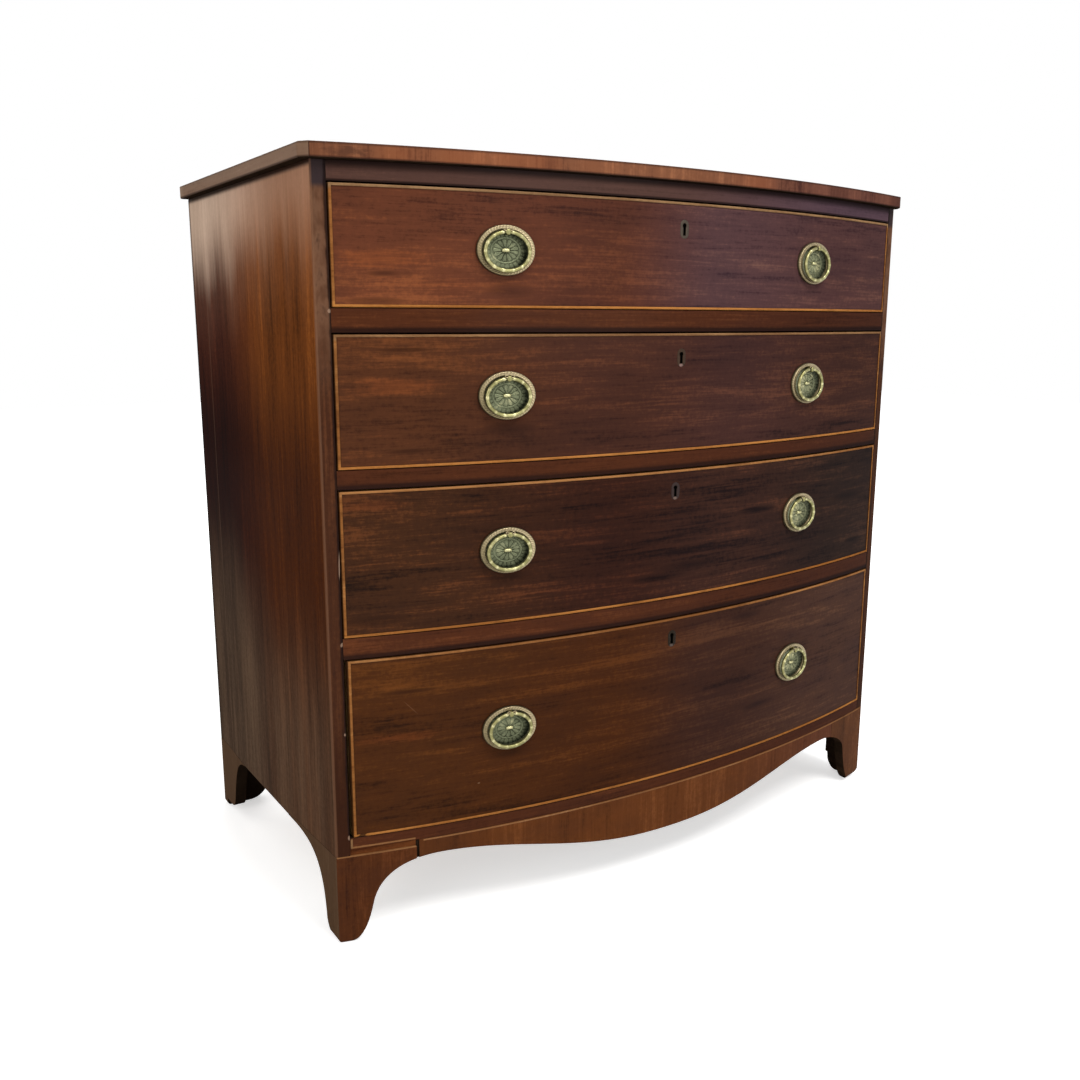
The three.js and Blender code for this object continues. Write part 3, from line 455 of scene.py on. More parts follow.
# Finishes: each wood's dark, middle and light tones
def make_woods():
    made = {}

    def add(name, *look, **settings):
        made[name] = wood(name, *look, **settings)

    add(
        "drawer_1", "xz", (56, 28, 22), (96, 50, 35), (130, 70, 44), 1.7, contrast=0.9,
        # Painted shade and bluish reflection across the drawer
        tint=painted_shade_and_reflection(
            (-0.36, (0.95, 1.08, 0.98, 1)), (-0.11, (0.65, 0.72, 0.72, 1)), (0.06, (0.64, 1.12, 2.2, 1)),
            (0.34, (0.58, 0.92, 1.65, 1)),
        ),
        spots=[
            (-0.400, 0.834, 0.075, 0.016, ORANGE, 0.45), (-0.300, 0.806, 0.10, 0.012, ORANGE, 0.2),
            (-0.398, 0.8185, 0.030, 0.0045, BLACK, 0.5), (-0.41, 0.789, 0.045, 0.006, BLACK, 0.4),
            # Painted shadow below the left handle
            (-0.250, 0.800, 0.045, 0.012, BLACK, 0.4),
        ],
    )
    add(
        "drawer_2", "xz", (46, 25, 19), (82, 45, 30), (116, 64, 38), 5.2, contrast=0.95,
        # Painted shade and bluish reflection across the drawer
        tint=painted_shade_and_reflection(
            (-0.38, (0.88, 0.96, 0.82, 1)), (-0.10, (0.64, 0.73, 0.90, 1)), (0.10, (0.59, 0.76, 1.22, 1)),
            (0.36, (0.47, 0.60, 0.88, 1)),
        ),
        spots=[
            (-0.38, 0.7345, 0.045, 0.0035, BLACK, 0.55), (-0.39, 0.693, 0.08, 0.014, ORANGE, 0.32),
            # The second spot is a painted shadow below the left handle
            (-0.374, 0.617, 0.04, 0.004, BLACK, 0.5), (-0.252, 0.638, 0.05, 0.012, BLACK, 0.4),
        ],
    )
    add(
        "drawer_3", "xz", (32, 19, 15), (64, 38, 25), (100, 58, 35), 9.1, fine=1.15, contrast=1.1,
        # Painted shade and bluish reflection across the drawer
        tint=painted_shade_and_reflection(
            (-0.38, (0.88, 0.87, 0.74, 1)), (-0.10, (0.58, 0.51, 0.61, 1)), (0.08, (0.72, 0.76, 1.02, 1)),
            (0.36, (0.41, 0.57, 0.86, 1)),
        ),
        spots=[
            (0.152, 0.503, 0.055, 0.007, BLACK, 0.9), (-0.03, 0.429, 0.07, 0.008, BLACK, 0.9),
            (0.03, 0.440, 0.085, 0.011, BLACK, 0.8), (0.38, 0.501, 0.075, 0.010, BLACK, 0.6),
            (0.405, 0.4255, 0.035, 0.006, BLACK, 0.7), (-0.418, 0.555, 0.06, 0.010, ORANGE, 0.18),
            # The second spot is a painted shadow below the left handle
            (-0.42, 0.416, 0.06, 0.010, BLACK, 0.45), (-0.252, 0.453, 0.05, 0.011, BLACK, 0.4),
        ],
    )
    add(
        "drawer_4", "xz", (42, 22, 13), (76, 41, 22), (106, 60, 30), 13.6, contrast=0.9, tint=drawer_4_tint,
        spots=[
            (0.176, 0.207, 0.055, 0.008, BLACK, 0.55), (0.14, 0.349, 0.05, 0.010, BLACK, 0.5),
            (-0.384, 0.322, 0.05, 0.004, BLACK, 0.5), (-0.394, 0.264, 0.07, 0.010, ORANGE, 0.3),
            # Painted shadow below the left handle
            (-0.252, 0.221, 0.05, 0.011, BLACK, 0.4),
        ],
    )
    add(
        "rail", "xz", (44, 23, 13), (74, 39, 22), (102, 57, 31), 3.3, fine=1.5, contrast=0.8, tint=rail_tint,
    )
    add(
        "top_rail", "xz", (50, 34, 30), (76, 53, 46), (98, 68, 56), 4.4, fine=1.5, contrast=0.6,
        tint=top_rail_tint,
    )
    add(
        "side", "zy", (44, 21, 11), (74, 37, 19), (98, 52, 27), 6.1, fine=1.3, contrast=0.75, coat=0.02,
        tint=side_tint,
    )
    add(
        "stile", "zx", (36, 20, 13), (64, 36, 22), (88, 52, 32), 2.9, fine=1.6, contrast=0.9,
        tint=stile_tint,
    )
    add(
        "top_face", "xy", (58, 30, 20), (94, 52, 32), (126, 72, 44), 8.8, fine=0.7, rough=(0.34, 0.5),
        coat=0.35,
    )
    add(
        "top_edge", "zx", (72, 42, 32), (114, 72, 50), (144, 94, 65), 7.4, fine=1.1, contrast=0.8,
        tint=edge_tint,
    )
    add(
        "top_end", "yz", (90, 68, 54), (119, 93, 75), (143, 115, 96), 7.9, fine=1.2, contrast=0.6, coat=0.02,
        tint=end_tint,
    )
    add(
        "apron", "zx", (57, 30, 14), (94, 52, 24), (122, 72, 36), 10.2, fine=1.1, contrast=0.75,
        wander=0.003,
        # Painted shade and bluish reflection along the apron
        tint=painted_shade_and_reflection(
            (-0.38, (0.78, 0.80, 0.90, 1)), (-0.24, PLAIN), (0.1, (0.94, 0.96, 1.1, 1)),
            (0.36, (0.86, 0.95, 1.7, 1)),
        ),
    )
    add("foot", "zx", (48, 25, 13), (77, 41, 20), (104, 58, 30), 11.5, contrast=0.9, tint=foot_tint)
    add("foot_side", "zy", (52, 36, 24), (78, 57, 40), (98, 74, 53), 12.5, contrast=0.6, coat=0.02)
    add("strip", "xz", (66, 33, 18), (96, 54, 28), (124, 74, 38), 14.5, rough=(0.5, 0.65), coat=0.0)
    add(
        "boxwood", "xz", (104, 62, 30), (134, 86, 44), (164, 114, 66), 15.5, fine=1.5, coat=0.03,
        tint=bead_tint,
    )
    add("line", "xz", (92, 60, 36), (128, 88, 54), (160, 120, 82), 16.5, coat=0.03)
    add("pale_line", "xz", (96, 66, 42), (128, 94, 62), (160, 124, 90), 17.1, coat=0.03)
    bare = {"fine": 0.6, "contrast": 0.8, "wander": 0.02, "rough": (0.62, 0.8), "coat": 0.0}
    add("pine", "xz", (112, 82, 50), (150, 114, 72), (178, 142, 96), 18.5, **bare)
    add("pine_up", "zx", (96, 72, 48), (132, 102, 68), (158, 128, 90), 19.5, **bare)
    add("pine_deep", "yz", (112, 82, 50), (150, 114, 72), (178, 142, 96), 20.5, **bare)
    # Hidden faces and the top's underside are near black: dust, with painted shade
    add("dust_and_shade", "yz", (22, 15, 11), (34, 25, 18), (50, 37, 27), 21.5, **bare)
    return made


def make_metals():
    """The handles' brass, and each keyhole liner's, with a pale place at its foot."""
    brass = {
        "field": ((32, 35, 25), (97, 101, 78), (168, 164, 126)),
        "rim": ((44, 38, 26), (124, 112, 84), (184, 168, 136)),
        "bright": ((96, 92, 62), (156, 152, 110), (192, 188, 146)),
        "ring": ((58, 54, 32), (130, 126, 84), (188, 182, 138)),
    }
    made = {name: metal(name + "_brass", *tones, (0.36, 0.5)) for name, tones in brass.items()}
    liners = [
        ((38, 34, 30), (70, 62, 54), (95, 86, 76), None),
        ((30, 24, 20), (58, 45, 36), (80, 66, 54), (112, 90, 84)),
        ((24, 20, 18), (52, 42, 40), (80, 68, 62), (96, 80, 72)),
        ((20, 16, 14), (38, 32, 25), (64, 54, 45), (80, 70, 64)),
    ]
    for i, (*tones, pale) in enumerate(liners):
        low = DRAWER_LOWS[i] + DRAWER_HEIGHTS[i] - KEYHOLE_DROPS[i] - 0.0096
        worn = ((KEYHOLE_XS[i] - 0.0006, 0.0, low), (0.0042, DEEP, 0.0032), pale)
        made[f"liner_{i + 1}"] = metal(f"liner_{i + 1}", *tones, (0.42, 0.6), worn if pale else None)
    return made


# Light, floor and camera
FOCAL_PIXELS = 1065.78
IMAGE_PIXELS = 1080.0
SENSOR_MM = 36.0
CAMERA_PLACE = (-0.91903, -1.35669, 0.76620)
CAMERA_TURNS = (0.57227, 0.20259, 0.0019354)
LIGHTS = [
    # name, place, aim, size, watts, colour
    ("key", (0.25, -2.0, 3.0), (0.0, -0.25, 0.45), (1.3, 1.1), 62.0, (1.0, 0.985, 0.96)),
    ("fill_front", (0.9, -2.8, 1.2), (0.0, 0.0, 0.45), (1.6, 1.2), 14.0, (1.0, 1.0, 1.0)),
    ("fill", (-2.6, -1.2, 1.6), (0.0, 0.0, 0.45), (1.4, 1.8), 24.0, (1.0, 0.97, 0.93)),
    ("window", (-2.3, 4.2, 1.95), (-0.45, 0.1, 0.85), (2.4, 1.1), 60.0, (1.0, 0.96, 0.90)),
    ("behind", (0.8, 2.6, 2.2), (0.0, 0.0, 0.5), (2.0, 1.2), 40.0, (1.0, 1.0, 1.0)),
]


def linked(name, data):
    """An object in the scene that holds some data."""
    made = bpy.data.objects.new(name, data)
    bpy.context.scene.collection.objects.link(made)
    return made


def make_world():
    """A soft pale room, which the camera and reflections see as plain white."""
    world = bpy.data.worlds.new("room")
    bpy.context.scene.world = world
    n = Nodes(world)
    soft = n.node("ShaderNodeBackground", {"Color": (0.96, 0.98, 1.0, 1.0), "Strength": 0.42})
    white = n.node("ShaderNodeBackground", {"Color": (1.0, 1.0, 1.0, 1.0), "Strength": 1.0})
    blend = n.node("ShaderNodeMixShader", {0: n.seen(), 1: soft.outputs[0], 2: white.outputs[0]})
    n.node("ShaderNodeOutputWorld", {"Surface": blend.outputs[0]})


def make_floor():
    """A pale floor that keeps the chest's shadow, and goes over into the white backdrop."""
    half, drop = 9.0, 0.0004
    mesh = bpy.data.meshes.new("floor")
    corners = [(half * x, half * y, -drop) for x, y in ((-1, -1), (1, -1), (1, 1), (-1, 1))]
    mesh.from_pydata(corners, [], [(0, 1, 2, 3)])
    material = bpy.data.materials.new("pale_floor")
    mesh.materials.append(material)
    n = Nodes(material)
    diffuse = n.node("ShaderNodeBsdfDiffuse", {"Color": (0.84, 0.84, 0.84, 1.0)})
    place = n.node("ShaderNodeTexCoord").outputs["Object"]
    away = n.node("ShaderNodeVectorMath", {0: place}, operation="LENGTH").outputs["Value"]
    lift = n.math("MULTIPLY", n.seen(), n.ramp(away, 0.9, 3.2, 0.56, 1.05))
    glow = n.node("ShaderNodeEmission", {"Strength": lift})
    both = n.node("ShaderNodeAddShader", {0: diffuse.outputs[0], 1: glow.outputs[0]})
    n.node("ShaderNodeOutputMaterial", {"Surface": both.outputs[0]})
    linked("floor", mesh)


def make_lights():
    for name, place, target, size, watts, colour in LIGHTS:
        data = bpy.data.lights.new(name, "AREA")
        data.shape = "RECTANGLE"
        data.size, data.size_y = size
        data.energy = watts
        data.color = colour
        lamp = linked(name, data)
        lamp.location = place
        aim = Vector(target) - Vector(place)
        lamp.rotation_euler = aim.to_track_quat("-Z", "Y").to_euler()


def make_camera():
    data = bpy.data.cameras.new("camera")
    data.sensor_width = SENSOR_MM
    data.lens = SENSOR_MM * FOCAL_PIXELS / IMAGE_PIXELS
    data.clip_start, data.clip_end = 0.05, 60.0
    camera = linked("camera", data)
    yaw, pitch, roll = CAMERA_TURNS
    ahead = Vector((math.sin(yaw) * math.cos(pitch), math.cos(yaw) * math.cos(pitch), -math.sin(pitch)))
    level = Vector((math.cos(yaw), -math.sin(yaw), 0.0))
    above = level.cross(ahead)
    right = math.cos(roll) * level + math.sin(roll) * above
    up = -math.sin(roll) * level + math.cos(roll) * above
    turn = Matrix((right, up, -ahead)).transposed()
    camera.matrix_world = Matrix.Translation(CAMERA_PLACE) @ turn.to_4x4()
    bpy.context.scene.camera = camera


# Mesh building
def mesh_object(name, verts, faces, materials, pick=None, smooth=True):
    """A mesh object. pick(centre, normal) gives a face's material by number."""
    mesh = bpy.data.meshes.new(name)
    mesh.from_pydata([tuple(v) for v in verts], [], faces)
    made = bmesh.new()
    made.from_mesh(mesh)
    bmesh.ops.remove_doubles(made, verts=made.verts, dist=1e-7)
    bmesh.ops.recalc_face_normals(made, faces=made.faces)
    for face in made.faces:
        face.smooth = smooth
        if pick:
            face.material_index = pick(face.calc_center_median(), face.normal)
    made.to_mesh(mesh)
    made.free()
    for material in materials if isinstance(materials, (list, tuple)) else [materials]:
        mesh.materials.append(material)
    return linked(name, mesh)


def keep_sharp(piece, degrees):
    """Shades a piece flat across edges that turn by more than some degrees."""
    piece.data.set_sharp_from_angle(angle=math.radians(degrees))


def keep_values(piece, values, name="relief"):
    """Keeps a value for each point of a piece, for its material to read."""
    layer = piece.data.attributes.new(name, "FLOAT", "POINT")
    layer.data.foreach_set("value", np.asarray(values, np.float32))


def settle(piece, body, slot, *replaced, bevel=0.0, segments=2, angle=25.0):
    """Softens a piece's arrises, sets what it rides on, and hides the solids that it replaces."""
    if bevel:
        worn = piece.modifiers.new("worn_arris", "BEVEL")
        worn.width = bevel
        worn.segments = segments
        worn.limit_method = "ANGLE"
        worn.angle_limit = math.radians(angle)
        worn.use_clamp_overlap = False
        even = piece.modifiers.new("even_shading", "WEIGHTED_NORMAL")
        even.keep_sharp = True
    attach(piece, body)
    if replaced:
        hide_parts(*replaced)
    return piece


def joined_parts(parts):
    """One mesh's (verts, faces) from several."""
    verts, faces = [], []
    for some, sides in parts:
        faces += [tuple(len(verts) + i for i in face) for face in sides]
        verts += some
    return verts, faces


def looped(rows, closed=False):
    """(verts, faces) of the skin through rows of points, each of which runs once round. closed joins the
    last row to the first."""
    count = len(rows[0])
    faces = []
    for r in range(len(rows) if closed else len(rows) - 1):
        a, b = r * count, (r + 1) % len(rows) * count
        faces += [(a + i, a + (i + 1) % count, b + (i + 1) % count, b + i) for i in range(count)]
    return [point for row in rows for point in row], faces


def swept(rows, first=None, last=None):
    """(verts, faces) of a solid through rows of points. Each end is a flat face, or comes to the point first
    or last."""
    verts, faces = looped(rows)
    count = len(rows[0])
    ends = []
    for point, loop in ((first, range(count)), (last, range(len(verts) - 1, len(verts) - 1 - count, -1))):
        if point is None:
            ends.append(tuple(loop))
        else:
            ends += [(len(verts), a, b) for a, b in zip(loop, [*loop[1:], loop[0]])]
            verts.append(point)
    return verts, ends + faces


def columns(name, stations, materials, pick=None):
    """A closed band along stations, each with its outer and inner place in plan, and its low and high."""
    rows = [
        [(*outer, low), (*outer, high), (*inner, high), (*inner, low)]
        for outer, inner, low, high in stations
    ]
    return mesh_object(name, *swept(rows), materials, pick)


def bowed(name, left, right, outset, inset, low, high, materials, pick=None, back=None, steps=96):
    """A board that follows the bow, or has a straight back edge."""
    stations = [
        (
            (x, bow_y(x, outset)), (x, bow_y(x, inset) if back is None else back),
            low(x) if callable(low) else low, high,
        )
        for x in np.linspace(left, right, steps + 1)
    ]
    return columns(name, stations, materials, pick)


def cut(piece, tool):
    """Takes the tool's shape out of a piece, and deletes the tool."""
    taken = piece.modifiers.new("cut", "BOOLEAN")
    taken.operation = "DIFFERENCE"
    taken.solver = "EXACT"
    taken.object = tool
    bpy.context.view_layer.update()
    shaped = piece.evaluated_get(bpy.context.evaluated_depsgraph_get())
    mesh = bpy.data.meshes.new_from_object(shaped)
    piece.modifiers.clear()
    piece.data = mesh
    bpy.data.objects.remove(tool)
    return piece


def boxes_object(name, spans, materials, smooth=True):
    """Blocks as one object. Each span is (low corner, high corner)."""
    parts = [
        swept([[(x, y0, z0), (x, y1, z0), (x, y1, z1), (x, y0, z1)] for x in (x0, x1)])
        for (x0, y0, z0), (x1, y1, z1) in spans
    ]
    return mesh_object(name, *joined_parts(parts), materials, smooth=smooth)


def pick_front(centre, normal):
    """The first material for faces that look forwards, and the second for the others."""
    return 0 if normal.y < -0.5 else 1


# Profiles of the base, as functions of the distance from a corner
def foot_curve(arch, sole, lift, width, rise, flare, knee, reach):
    """A foot's inner edge as (distances, heights): its sole, its rounded toe, then up to the arch."""
    t = np.linspace(0, 1, 12)
    bend = sole + (width - sole) * 0.65
    toe_xs = (1 - t) ** 2 * sole + 2 * t * (1 - t) * bend + t * t * width
    toe_zs = (1 - t * t) * lift + t * t * rise
    t = np.linspace(0, 1, 25)[1:]
    blend = [(1 - t) ** 3, 3 * t * (1 - t) ** 2, 3 * t * t * (1 - t), t**3]
    xs = blend[0] * width + blend[1] * (width + flare) + blend[2] * (width + knee) + blend[3] * reach
    zs = blend[0] * rise + blend[1] * 0.82 * arch + (blend[2] + blend[3]) * arch
    return np.concatenate([toe_xs, xs]), np.concatenate([toe_zs, zs])


FRONT_REACH = 0.130
SIDE_REACH = 0.150
LEFT_TOE = foot_curve(FRONT_ARCH, 0.013, 0.0, 0.0428, 0.0479, 0.0076, 0.0378, FRONT_REACH)
RIGHT_TOE = foot_curve(FRONT_ARCH, 0.026, 0.0, 0.0584, 0.0654, 0.0005, 0.0356, FRONT_REACH)
LEFT_SIDE_TOE = foot_curve(SIDE_ARCH, 0.022, 0.0, 0.0395, 0.015, 0.0075, 0.0365, SIDE_REACH)
RIGHT_SIDE_TOE = foot_curve(SIDE_ARCH, 0.034, 0.0, 0.052, 0.015, 0.0075, 0.030, SIDE_REACH)
REAR_TOE = foot_curve(SIDE_ARCH, 0.044, 0.011, 0.060, 0.027, 0.014, 0.026, 0.128)
BACK_TOE = foot_curve(SIDE_ARCH, 0.036, 0.0, 0.066, 0.019, 0.008, 0.018, 0.104)
# Where a front foot's side bracket ends, and where its top line bends down
BRACKET_END, BRACKET_BEND, BRACKET_DROP = 0.172, 0.142, 0.007


def foot_low(distance, toe):
    """The height of a foot's lower edge at a distance from its corner."""
    return float(np.interp(distance, toe[0], toe[1]))


def apron_low(x):
    """The height of the apron's lower edge: a serpentine drop between the feet."""
    reach = HALF - FRONT_REACH
    if abs(x) < reach:
        return FRONT_ARCH - 0.043 * (1 + math.cos(math.pi * abs(x / reach) ** 1.2)) / 2
    return foot_low(HALF - abs(x), LEFT_TOE if x < 0 else RIGHT_TOE)


def foot_stations(toe, end, start=0.0):
    """Distances from a corner that follow a foot's lower edge closely."""
    return [start] + [d for d in toe[0] if start + 2e-4 < d < end - 2e-4] + [end]


def round_corner(piece, sign, radius, along, edge=0.0, facing=1):
    """Rounds a foot's outer bottom corner. The cut runs along Y at the side, along X at edge, or along
    the bow."""
    beyond, far = 0.01, 0.6
    arc = [
        (radius - radius * math.cos(a), radius - radius * math.sin(a))
        for a in np.linspace(0, math.pi / 2, 9)
    ]
    section = [(-beyond, radius)] + arc + [(radius, -beyond), (-beyond, -beyond)]
    if along == "bow":
        xs = np.linspace(HALF - 0.11, HALF + beyond, 25)
        rows = [[(sign * x, bow_y(x, u), z) for u, z in section] for x in xs]
    elif along == "Y":
        rows = [[(sign * (HALF - u), end, z) for u, z in section] for end in (-far, far)]
    else:
        rows = [[(end, edge + facing * u, z) for u, z in section] for end in (-far, far)]
    return cut(piece, mesh_object("corner_tool", *swept(rows), list(piece.data.materials)))


# Carcase pieces
def make_top(finish):
    half = HALF + TOP_OVERHANG
    front = SIDE_FRONT - TOP_NOSING
    radius = (half**2 + BOW_RISE**2) / (2 * BOW_RISE)
    corner, rounded = 0.009, 0.0034

    def arc(x):
        return radius + front - BOW_RISE - math.sqrt(radius**2 - x * x)

    middle = [(x, arc(x), BACK) for x in np.linspace(-half + corner, half - corner, 121)]
    canted = front + corner
    bend = canted + (arc(half - corner) - canted) * rounded / corner
    ends = [(half, canted, BACK - rounded), (half - rounded, bend, BACK)]
    spans = [(-x, line, rear) for x, line, rear in ends] + middle + ends[::-1]

    def pick(centre, normal):
        if normal.z < -0.5 or normal.y > 0.5:
            return 3
        if normal.z > 0.5:
            return 0
        return 2 if abs(normal.x) > 0.5 else 1

    board = columns(
        "top_board_form", [((x, line), (x, rear), CARCASE_TOP, TOP) for x, line, rear in spans],
        [finish["top_face"], finish["top_edge"], finish["top_end"], finish["dust_and_shade"]], pick,
    )
    settle(board, "carcase", "top_mahogany", "top_board", bevel=0.0014, segments=3)


def make_side(finish, sign, line):
    """A side panel and its runners. line is the height of its front foot's top line at the front corner."""
    name = "side_left" if sign < 0 else "side_right"
    knots = [
        (SIDE_FRONT, line), (SIDE_FRONT + BRACKET_BEND, line - BRACKET_DROP),
        (SIDE_FRONT + BRACKET_END, SIDE_LOW), (BACK - 0.120, SIDE_LOW), (BACK - 0.044, REAR_FOOT_TOP),
        (BACK, REAR_FOOT_TOP),
    ]
    stations = []
    for y in sorted(set([y for y, _ in knots] + list(np.linspace(SIDE_FRONT, BACK, 25)))):
        low = np.interp(y, [y for y, _ in knots], [z for _, z in knots])
        inner = y if stations else bow_y(OPENING)
        stations.append(((sign * HALF, y), (sign * OPENING, inner), low, CARCASE_TOP))

    def pick(centre, normal):
        return 0 if normal.x * sign > 0.5 else 1 if normal.y < -0.5 else 2

    panel = columns(name + "_form", stations, [finish["side"], finish["stile"], finish["dust_and_shade"]], pick)
    x0, x1 = sorted((sign * (HALF - 0.007), sign * (OPENING - 0.01)))
    rebate = [((x0, BACK - 0.01, 0), (x1, BACK + 0.01, 1))]
    cut(panel, boxes_object("rebate", rebate, finish["dust_and_shade"], False))
    settle(panel, "carcase", "case_mahogany", name, bevel=0.0007)
    x0, x1 = sorted((sign * OPENING, sign * (OPENING - 0.012)))
    spans = [
        ((x0, RAIL_BACK + 0.0001, low), (x1, BACK - (0.070 if rail == "top_rail" else 0.0116), high))
        for rail, (low, high) in RAILS.items()
        if rail != "bottom_rail"
    ]
    settle(boxes_object(name + "_runners", spans, finish["pine_deep"]), "carcase", "pine", bevel=0.0005)


def make_rails(finish):
    for name, (low, high) in RAILS.items():
        face = finish["top_rail" if name == "top_rail" else "rail"]
        rail = bowed(
            name + "_form", -OPENING, OPENING, 0.0, 0.0, low, high, [face, finish["dust_and_shade"]], pick_front,
            back=RAIL_BACK,
        )
        settle(rail, "carcase", "rail_mahogany", name, bevel=0.0006)
        if name == "top_rail":
            continue
        stop_front = bow_y(0.1625, DRAWER_FRONT) + 0.0006
        spans = [
            ((x - 0.0125, stop_front, high - 0.002), (x + 0.0125, stop_front + 0.012, high + 0.005))
            for x in (-0.150, 0.150)
        ]
        settle(boxes_object(name + "_stops", spans, finish["pine"]), "carcase", "pine", bevel=0.0006)


def make_front_foot(finish, side, sign, line, inner_end, toe, side_toe, worn):
    """A bracket foot mitred round the corner. worn is how round its toe is at the side and the front."""
    stations = []
    for d in reversed(foot_stations(toe, HALF - inner_end)):
        x, near = sign * (HALF - d), min(HALF - d, OPENING)
        stations.append(((x, bow_y(x)), (sign * near, bow_y(near, BOARD)), foot_low(d, toe), line))
    bends = [0, BRACKET_BEND, BRACKET_END], [line, line - BRACKET_DROP, SIDE_LOW]
    for d in foot_stations(side_toe, BRACKET_END)[1:]:
        y = SIDE_FRONT + d
        inner = (sign * OPENING, max(y, bow_y(OPENING, BOARD)))
        stations.append(((sign * HALF, y), inner, foot_low(d, side_toe), float(np.interp(d, *bends))))

    def pick(centre, normal):
        return 1 if normal.x * sign > 0.6 else 0 if normal.y < -0.5 else 2

    name = f"foot_front_{side}"
    woods = [finish["foot"], finish["foot_side"], finish["dust_and_shade"]]
    foot = columns(name + "_form", stations, woods, pick)
    round_corner(foot, sign, worn[0], "Y")
    round_corner(foot, sign, worn[1], "bow")
    settle(foot, "carcase", "base_mahogany", name, bevel=0.0004, angle=50)
    corner = bow_y(OPENING, BOARD)
    make_glue_block(finish, name, sign, corner - 0.0003, corner + 0.0237)


def make_glue_block(finish, name, sign, front, rear):
    """The block that stands in a foot's corner."""
    x0, x1 = sorted((sign * 0.4577, sign * 0.4337))
    block = boxes_object(name + "_block", [((x0, front, 0.040), (x1, rear, BASE))], finish["dust_and_shade"], False)
    settle(block, "carcase", "pine", bevel=0.0008)


def make_rear_foot(finish, side, sign):
    """A side bracket, and the plain one behind it that runs along the back."""
    name = f"foot_rear_{side}"
    stations = []
    for d in [0.0, BOARD] + foot_stations(REAR_TOE, 0.120, BOARD + 0.00005):
        low = 0.0 if d <= BOARD else foot_low(d, REAR_TOE)
        high = float(np.interp(d, [0, 0.044, 0.120], [REAR_FOOT_TOP, REAR_FOOT_TOP, SIDE_LOW]))
        stations.append(((sign * HALF, BACK - d), (sign * OPENING, BACK - d), low, high))

    def pick(centre, normal):
        return 0 if normal.x * sign > 0.5 else 1

    rear = columns(name + "_form", stations, [finish["foot_side"], finish["dust_and_shade"]], pick)
    stations = [
        ((sign * (HALF - d), BACK), (sign * (HALF - d), BACK - BOARD), foot_low(d, BACK_TOE), BASE)
        for d in foot_stations(BACK_TOE, 0.104, 0.0173)
    ]
    bracket = columns(name + "_bracket", stations, [finish["dust_and_shade"]])
    round_corner(rear, sign, 0.005, "Y")
    for piece in (rear, bracket):
        round_corner(piece, sign, 0.005, "X", BACK, -1)
    settle(rear, "carcase", "base_mahogany", name, bevel=0.0004, angle=50)
    settle(bracket, "carcase", "pine", bevel=0.0004, angle=50)
    make_glue_block(finish, name, sign, BACK - 0.041, BACK - 0.0168)


def make_base(finish):
    left_end, right_end = -0.374, 0.3753
    apron = bowed(
        "apron_form", left_end, right_end, 0.0, BOARD, apron_low, BASE, [finish["apron"], finish["dust_and_shade"]],
        pick_front, steps=180,
    )
    settle(apron, "carcase", "base_mahogany", "apron", bevel=0.0007, angle=40)
    left = (-1, SLIPPED_FOOT_TOP, 0.377, LEFT_TOE, LEFT_SIDE_TOE, (0.005, 0.003))
    right = (1, BASE, 0.3757, RIGHT_TOE, RIGHT_SIDE_TOE, (0.016, 0.014))
    for side, sizes in (("left", left), ("right", right)):
        make_front_foot(finish, side, *sizes)
        make_rear_foot(finish, side, sizes[0])
    # The left foot's veneer has slipped: a bared strip above it, and an open joint beside it
    strip = bowed(
        "slipped_foot_strip", -0.4585, -0.3775, 0.0019, 0.016, 0.1150, BASE, [finish["strip"]], steps=16
    )
    settle(strip, "carcase", "base_mahogany", bevel=0.0004)
    ground = apron_low(-0.3755) + 0.0006
    gap = bowed(
        "open_joint_ground", -0.3772, -0.3738, 0.0015, 0.016, ground, BASE, [finish["dust_and_shade"]], steps=3
    )
    settle(gap, "carcase", "base_mahogany")
    lines = [
        ("rail_line", -0.3685, 0.4742, 0.1219, 0.1240, "line"),
        ("rail_line_left", -0.4562, -0.3785, 0.1262, 0.1285, "line"),
        ("foot_line_left", -0.4745, -0.3775, 0.1150, 0.1168, "line"),
        ("rail_line_left_end", -0.4575, -0.4550, 0.1262, 0.1388, "pale_line"),
    ]
    for name, left, right, low, high, kind in lines:
        line = bowed(name, left, right, -0.0003, 0.002, low, high, [finish[kind]], steps=64)
        settle(line, "carcase", "boxwood", bevel=0.0003)


# Drawers
def make_bead(name, left, right, low, high, material, missing=None):
    """The bead round a drawer, with a round nose. missing is the span of x whose lower bead has broken
    off."""
    radius = BEAD / 2
    nose = [
        (radius - radius * math.cos(a), -BEAD_PROUD + radius - radius * math.sin(a) ** 0.45)
        for a in np.linspace(0, math.pi, 11)
    ]
    steps, stands = 144, 10
    stub = 0.0009
    rows, levels, noses = [], [], []
    for u, v in [(0.0, BEAD_DEPTH)] + nose + [(BEAD, BEAD_DEPTH)]:
        xs = np.linspace(left + u, right - u, steps + 1)
        zs = np.linspace(low + u, high - u, stands + 1)
        loop = [(x, low + u) for x in xs[:-1]] + [(right - u, z) for z in zs[:-1]]
        loop += [(x, high - u) for x in xs[:0:-1]] + [(left + u, z) for z in zs[:0:-1]]
        row = []
        for x, z in loop:
            broken = missing and z < low + 0.01 and missing[0] < x < missing[1]
            row.append((x, bow_y(x, max(v, stub) if broken else v), z))
            levels.append((z - low) / (high - low))
            noses.append(0.0 if broken else 1 - abs(2 * u / BEAD - 1))
        rows.append(row)
    bead = mesh_object(name, *looped(rows, closed=True), material)
    keep_values(bead, levels, "level")
    keep_values(bead, noses, "nose")
    keep_sharp(bead, 40)
    return bead


def escutcheon_outline(grow=0.0):
    radius, rise = 0.007 + grow, 0.00475
    upper = [(radius * math.cos(a), rise + radius * math.sin(a)) for a in np.linspace(0, math.pi, 17)]
    return upper + [(-x, -z) for x, z in upper]


